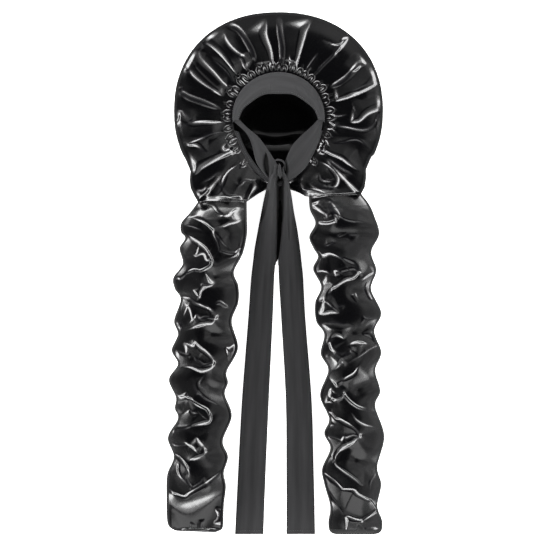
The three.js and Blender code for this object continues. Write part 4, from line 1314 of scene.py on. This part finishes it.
between = np.linalg.norm(np.diff(band_points[BAND_SIZE[0] // 2], axis=0), axis=1).mean()
inset = int(round(STITCH_IN / between))
hem_y = LEFT_TIE[-1]["y"] + HEM
SEWN = {
    "brow_band_stitches": [line_down(band_points, at, RIBBON_THICK) for at in (inset, -1 - inset)],
    "nape_binding_stitches": [line_down(binding_points, BINDING_SEWN, BINDING_THICK)],
    "tie_left_stitches": [line_across(left_points, hem_y, RIBBON_THICK)],
    "tie_right_stitches": [line_across(right_points, hem_y, RIBBON_THICK)],
}
STITCHES = [stitch_lines(name, lines) for name, lines in SEWN.items()]
band_stitches, binding_stitches, tie_left_stitches, tie_right_stitches = STITCHES
for piece in STITCHES:
    print(piece.name, "faces:", len(piece.data.polygons))

# %% [markdown]
# Floor, camera and lights. The photo looks straight down through a long lens, onto white. A ring of
# low softboxes makes one thin light along every ridge, and dim panels above them lift the flat cloth.

# %% Floor and camera
FRAME_WIDE = 0.799
CAMERA_HIGH = 6.0
CAMERA_OVER = (-0.00435, -0.237)  # the middle of the photo's frame, on the table
SENSOR_WIDE = 36
FLOOR_WIDE = 24
bpy.ops.mesh.primitive_plane_add(size=FLOOR_WIDE)
floor = bpy.context.object
floor.name = "floor"
floor_material, tree = new_material("white_paper_sweep")
paper = {"Base Color": linear("#f6f6f6"), "Roughness": 0.8}
paper |= {"Emission Color": linear("#ffffff"), "Emission Strength": 0.9}
shader = add_node(tree, "ShaderNodeBsdfPrincipled", paper)
add_node(tree, "ShaderNodeOutputMaterial", {"Surface": shader})
floor.data.materials.append(floor_material)
floor.visible_glossy = False  # the satin was lit over a dark table, and then set on white paper

camera_data = bpy.data.cameras.new("camera")
camera = new_object("camera", camera_data)
camera_data.sensor_width = SENSOR_WIDE
camera_data.lens = SENSOR_WIDE * CAMERA_HIGH / FRAME_WIDE
camera_data.clip_end = 50
camera.location = (*CAMERA_OVER, CAMERA_HIGH)
bpy.context.scene.camera = camera

# %% Lights
MIDDLE = Vector((0, -0.24, 0))
# Each direction has four boxes, one behind another, so that a ridge's light has a bright core and soft
# sides. rise: how high the box stands, in degrees. glow: its radiance, times the share of its direction.
BOXES = table(
    ("name", "far", "rise", "size", "glow", "share"),
    ("core", 2.4, 20, (1.9, 0.62), 9.0, "ring"),
    ("sides", 2.5, 23, (1.9, 1.5), 1.7, "ring"),
    ("wide", 2.6, 33, (1.6, 2.1), 1, "wide"),
    ("panel", 3.0, 58, (1.4, 1.35), 1, "panel"),
)
# turn: direction of the boxes seen from the cap, 90 above the crown.
DIRECTIONS = table(
    ("turn", "ring", "wide", "panel"),
    (0, 0.9, 0.34, 0.3),
    (45, 0.95, 0.34, 0.32),
    (90, 1.1, 0.26, 0.2),
    (135, 1.2, 0.16, 0.08),
    (180, 1.1, 0.12, 0.06),
    (225, 1.05, 0.14, 0.06),
    (270, 1.0, 0.2, 0.08),
    (315, 0.9, 0.3, 0.2),
)
# One strip looks down into the face opening, from below the nape.
STRIP = {"turn": 270, "rise": 55, "far": 1.5, "size": (0.9, 0.5), "glow": 1.2}


def soft_light(name, place, size, glow):
    """A softbox that faces the cap. glow is its radiance, so a bigger box isn't a dimmer one."""
    data = bpy.data.lights.new(name, "AREA")
    data.shape = "RECTANGLE"
    data.size, data.size_y = size
    data.energy = glow * math.pi * size[0] * size[1]
    light = new_object(name, data)
    light.location = place
    light.rotation_mode = "QUATERNION"
    light.rotation_quaternion = (MIDDLE - place).to_track_quat("-Z", "Y")
    light.visible_camera = False


def place_of(turn, rise, far):
    turn, rise = math.radians(turn), math.radians(rise)
    level = math.cos(rise)
    return MIDDLE + Vector((math.cos(turn) * level, math.sin(turn) * level, math.sin(rise))) * far


for way in DIRECTIONS:
    for box in BOXES:
        place = place_of(way["turn"], box["rise"], box["far"])
        soft_light("%s_%d" % (box["name"], way["turn"]), place, box["size"], box["glow"] * way[box["share"]])
soft_light("strip", place_of(STRIP["turn"], STRIP["rise"], STRIP["far"]), STRIP["size"], STRIP["glow"])

# %% The room
# It is dark above. What the cap's steep sides mirror is the table round it, a little lighter.
WORLD = {"low": 0.2, "high": 0.004}
world = bpy.data.worlds.new("studio")
world.use_nodes = True
room = world.node_tree
looking = add_node(room, "ShaderNodeTexCoord").outputs["Generated"]
rising = add_node(room, "ShaderNodeSeparateXYZ", {"Vector": looking}).outputs["Z"]
fading = {"From Min": -0.3, "From Max": 0.0, "To Min": WORLD["low"], "To Max": WORLD["high"], "Value": rising}
haze = add_node(room, "ShaderNodeMapRange", fading)
background = room.nodes["Background"]
background.inputs["Color"].default_value = (1, 1, 1, 1)
room.links.new(haze.outputs["Result"], background.inputs["Strength"])
bpy.context.scene.world = world
bpy.context.scene.view_settings.view_transform = "Standard"

# %% [markdown]
# The pieces. Nothing on the cap is hard or hinged, so every piece rides on the one body. Each piece
# says which solid it stands for, and which finish it has.

# %% The pieces on the body
# Each piece, the solid that it stands for and its finish. Then, for a sheet of cloth, how it was cut before
# it was sewn: width and length in metres, and its area where the cut isn't a rectangle. And how it is held,
# what it rests on, and what is sewn to it.
PIECES = table(
    ("piece", "solid", "finish", "flat", "area", "held", "rests_on", "sewn"),
    (crown, "crown", "satin", (0.5, 0.5), 0.196, "gathered", ["brow_band", "nape_binding"], []),
    (sleeve_left, "sleeve_left", "satin", (0.13, 0.6), None, "gathered", ["crown"], []),
    (sleeve_right, "sleeve_right", "satin", (0.13, 0.6), None, "gathered", ["crown"], []),
    (band, "brow_band", "ribbon", (0.042, 0.2), None, "folded", ["crown"], [band_stitches]),
    (binding, "nape_binding", "ribbon", (0.01, 0.2), None, "folded", ["crown"], [binding_stitches]),
    (strap_left, "strap_left", "ribbon", (0.026, 0.1), None, "folded", ["brow_band"], []),
    (strap_right, "strap_right", "ribbon", (0.03, 0.1), None, "folded", ["brow_band"], []),
    (knot, "knot", "ribbon", None, None, None, None, None),
    (tie_left, "tie_left", "ribbon", (0.042, 0.53), None, "laid", ["knot"], [tie_left_stitches]),
    (tie_right, "tie_right", "ribbon", (0.042, 0.53), None, "laid", ["knot"], [tie_right_stitches]),
)
for row in PIECES:
    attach(row["piece"], "root")
    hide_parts(row["solid"])
for piece in STITCHES:
    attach(piece, "root")
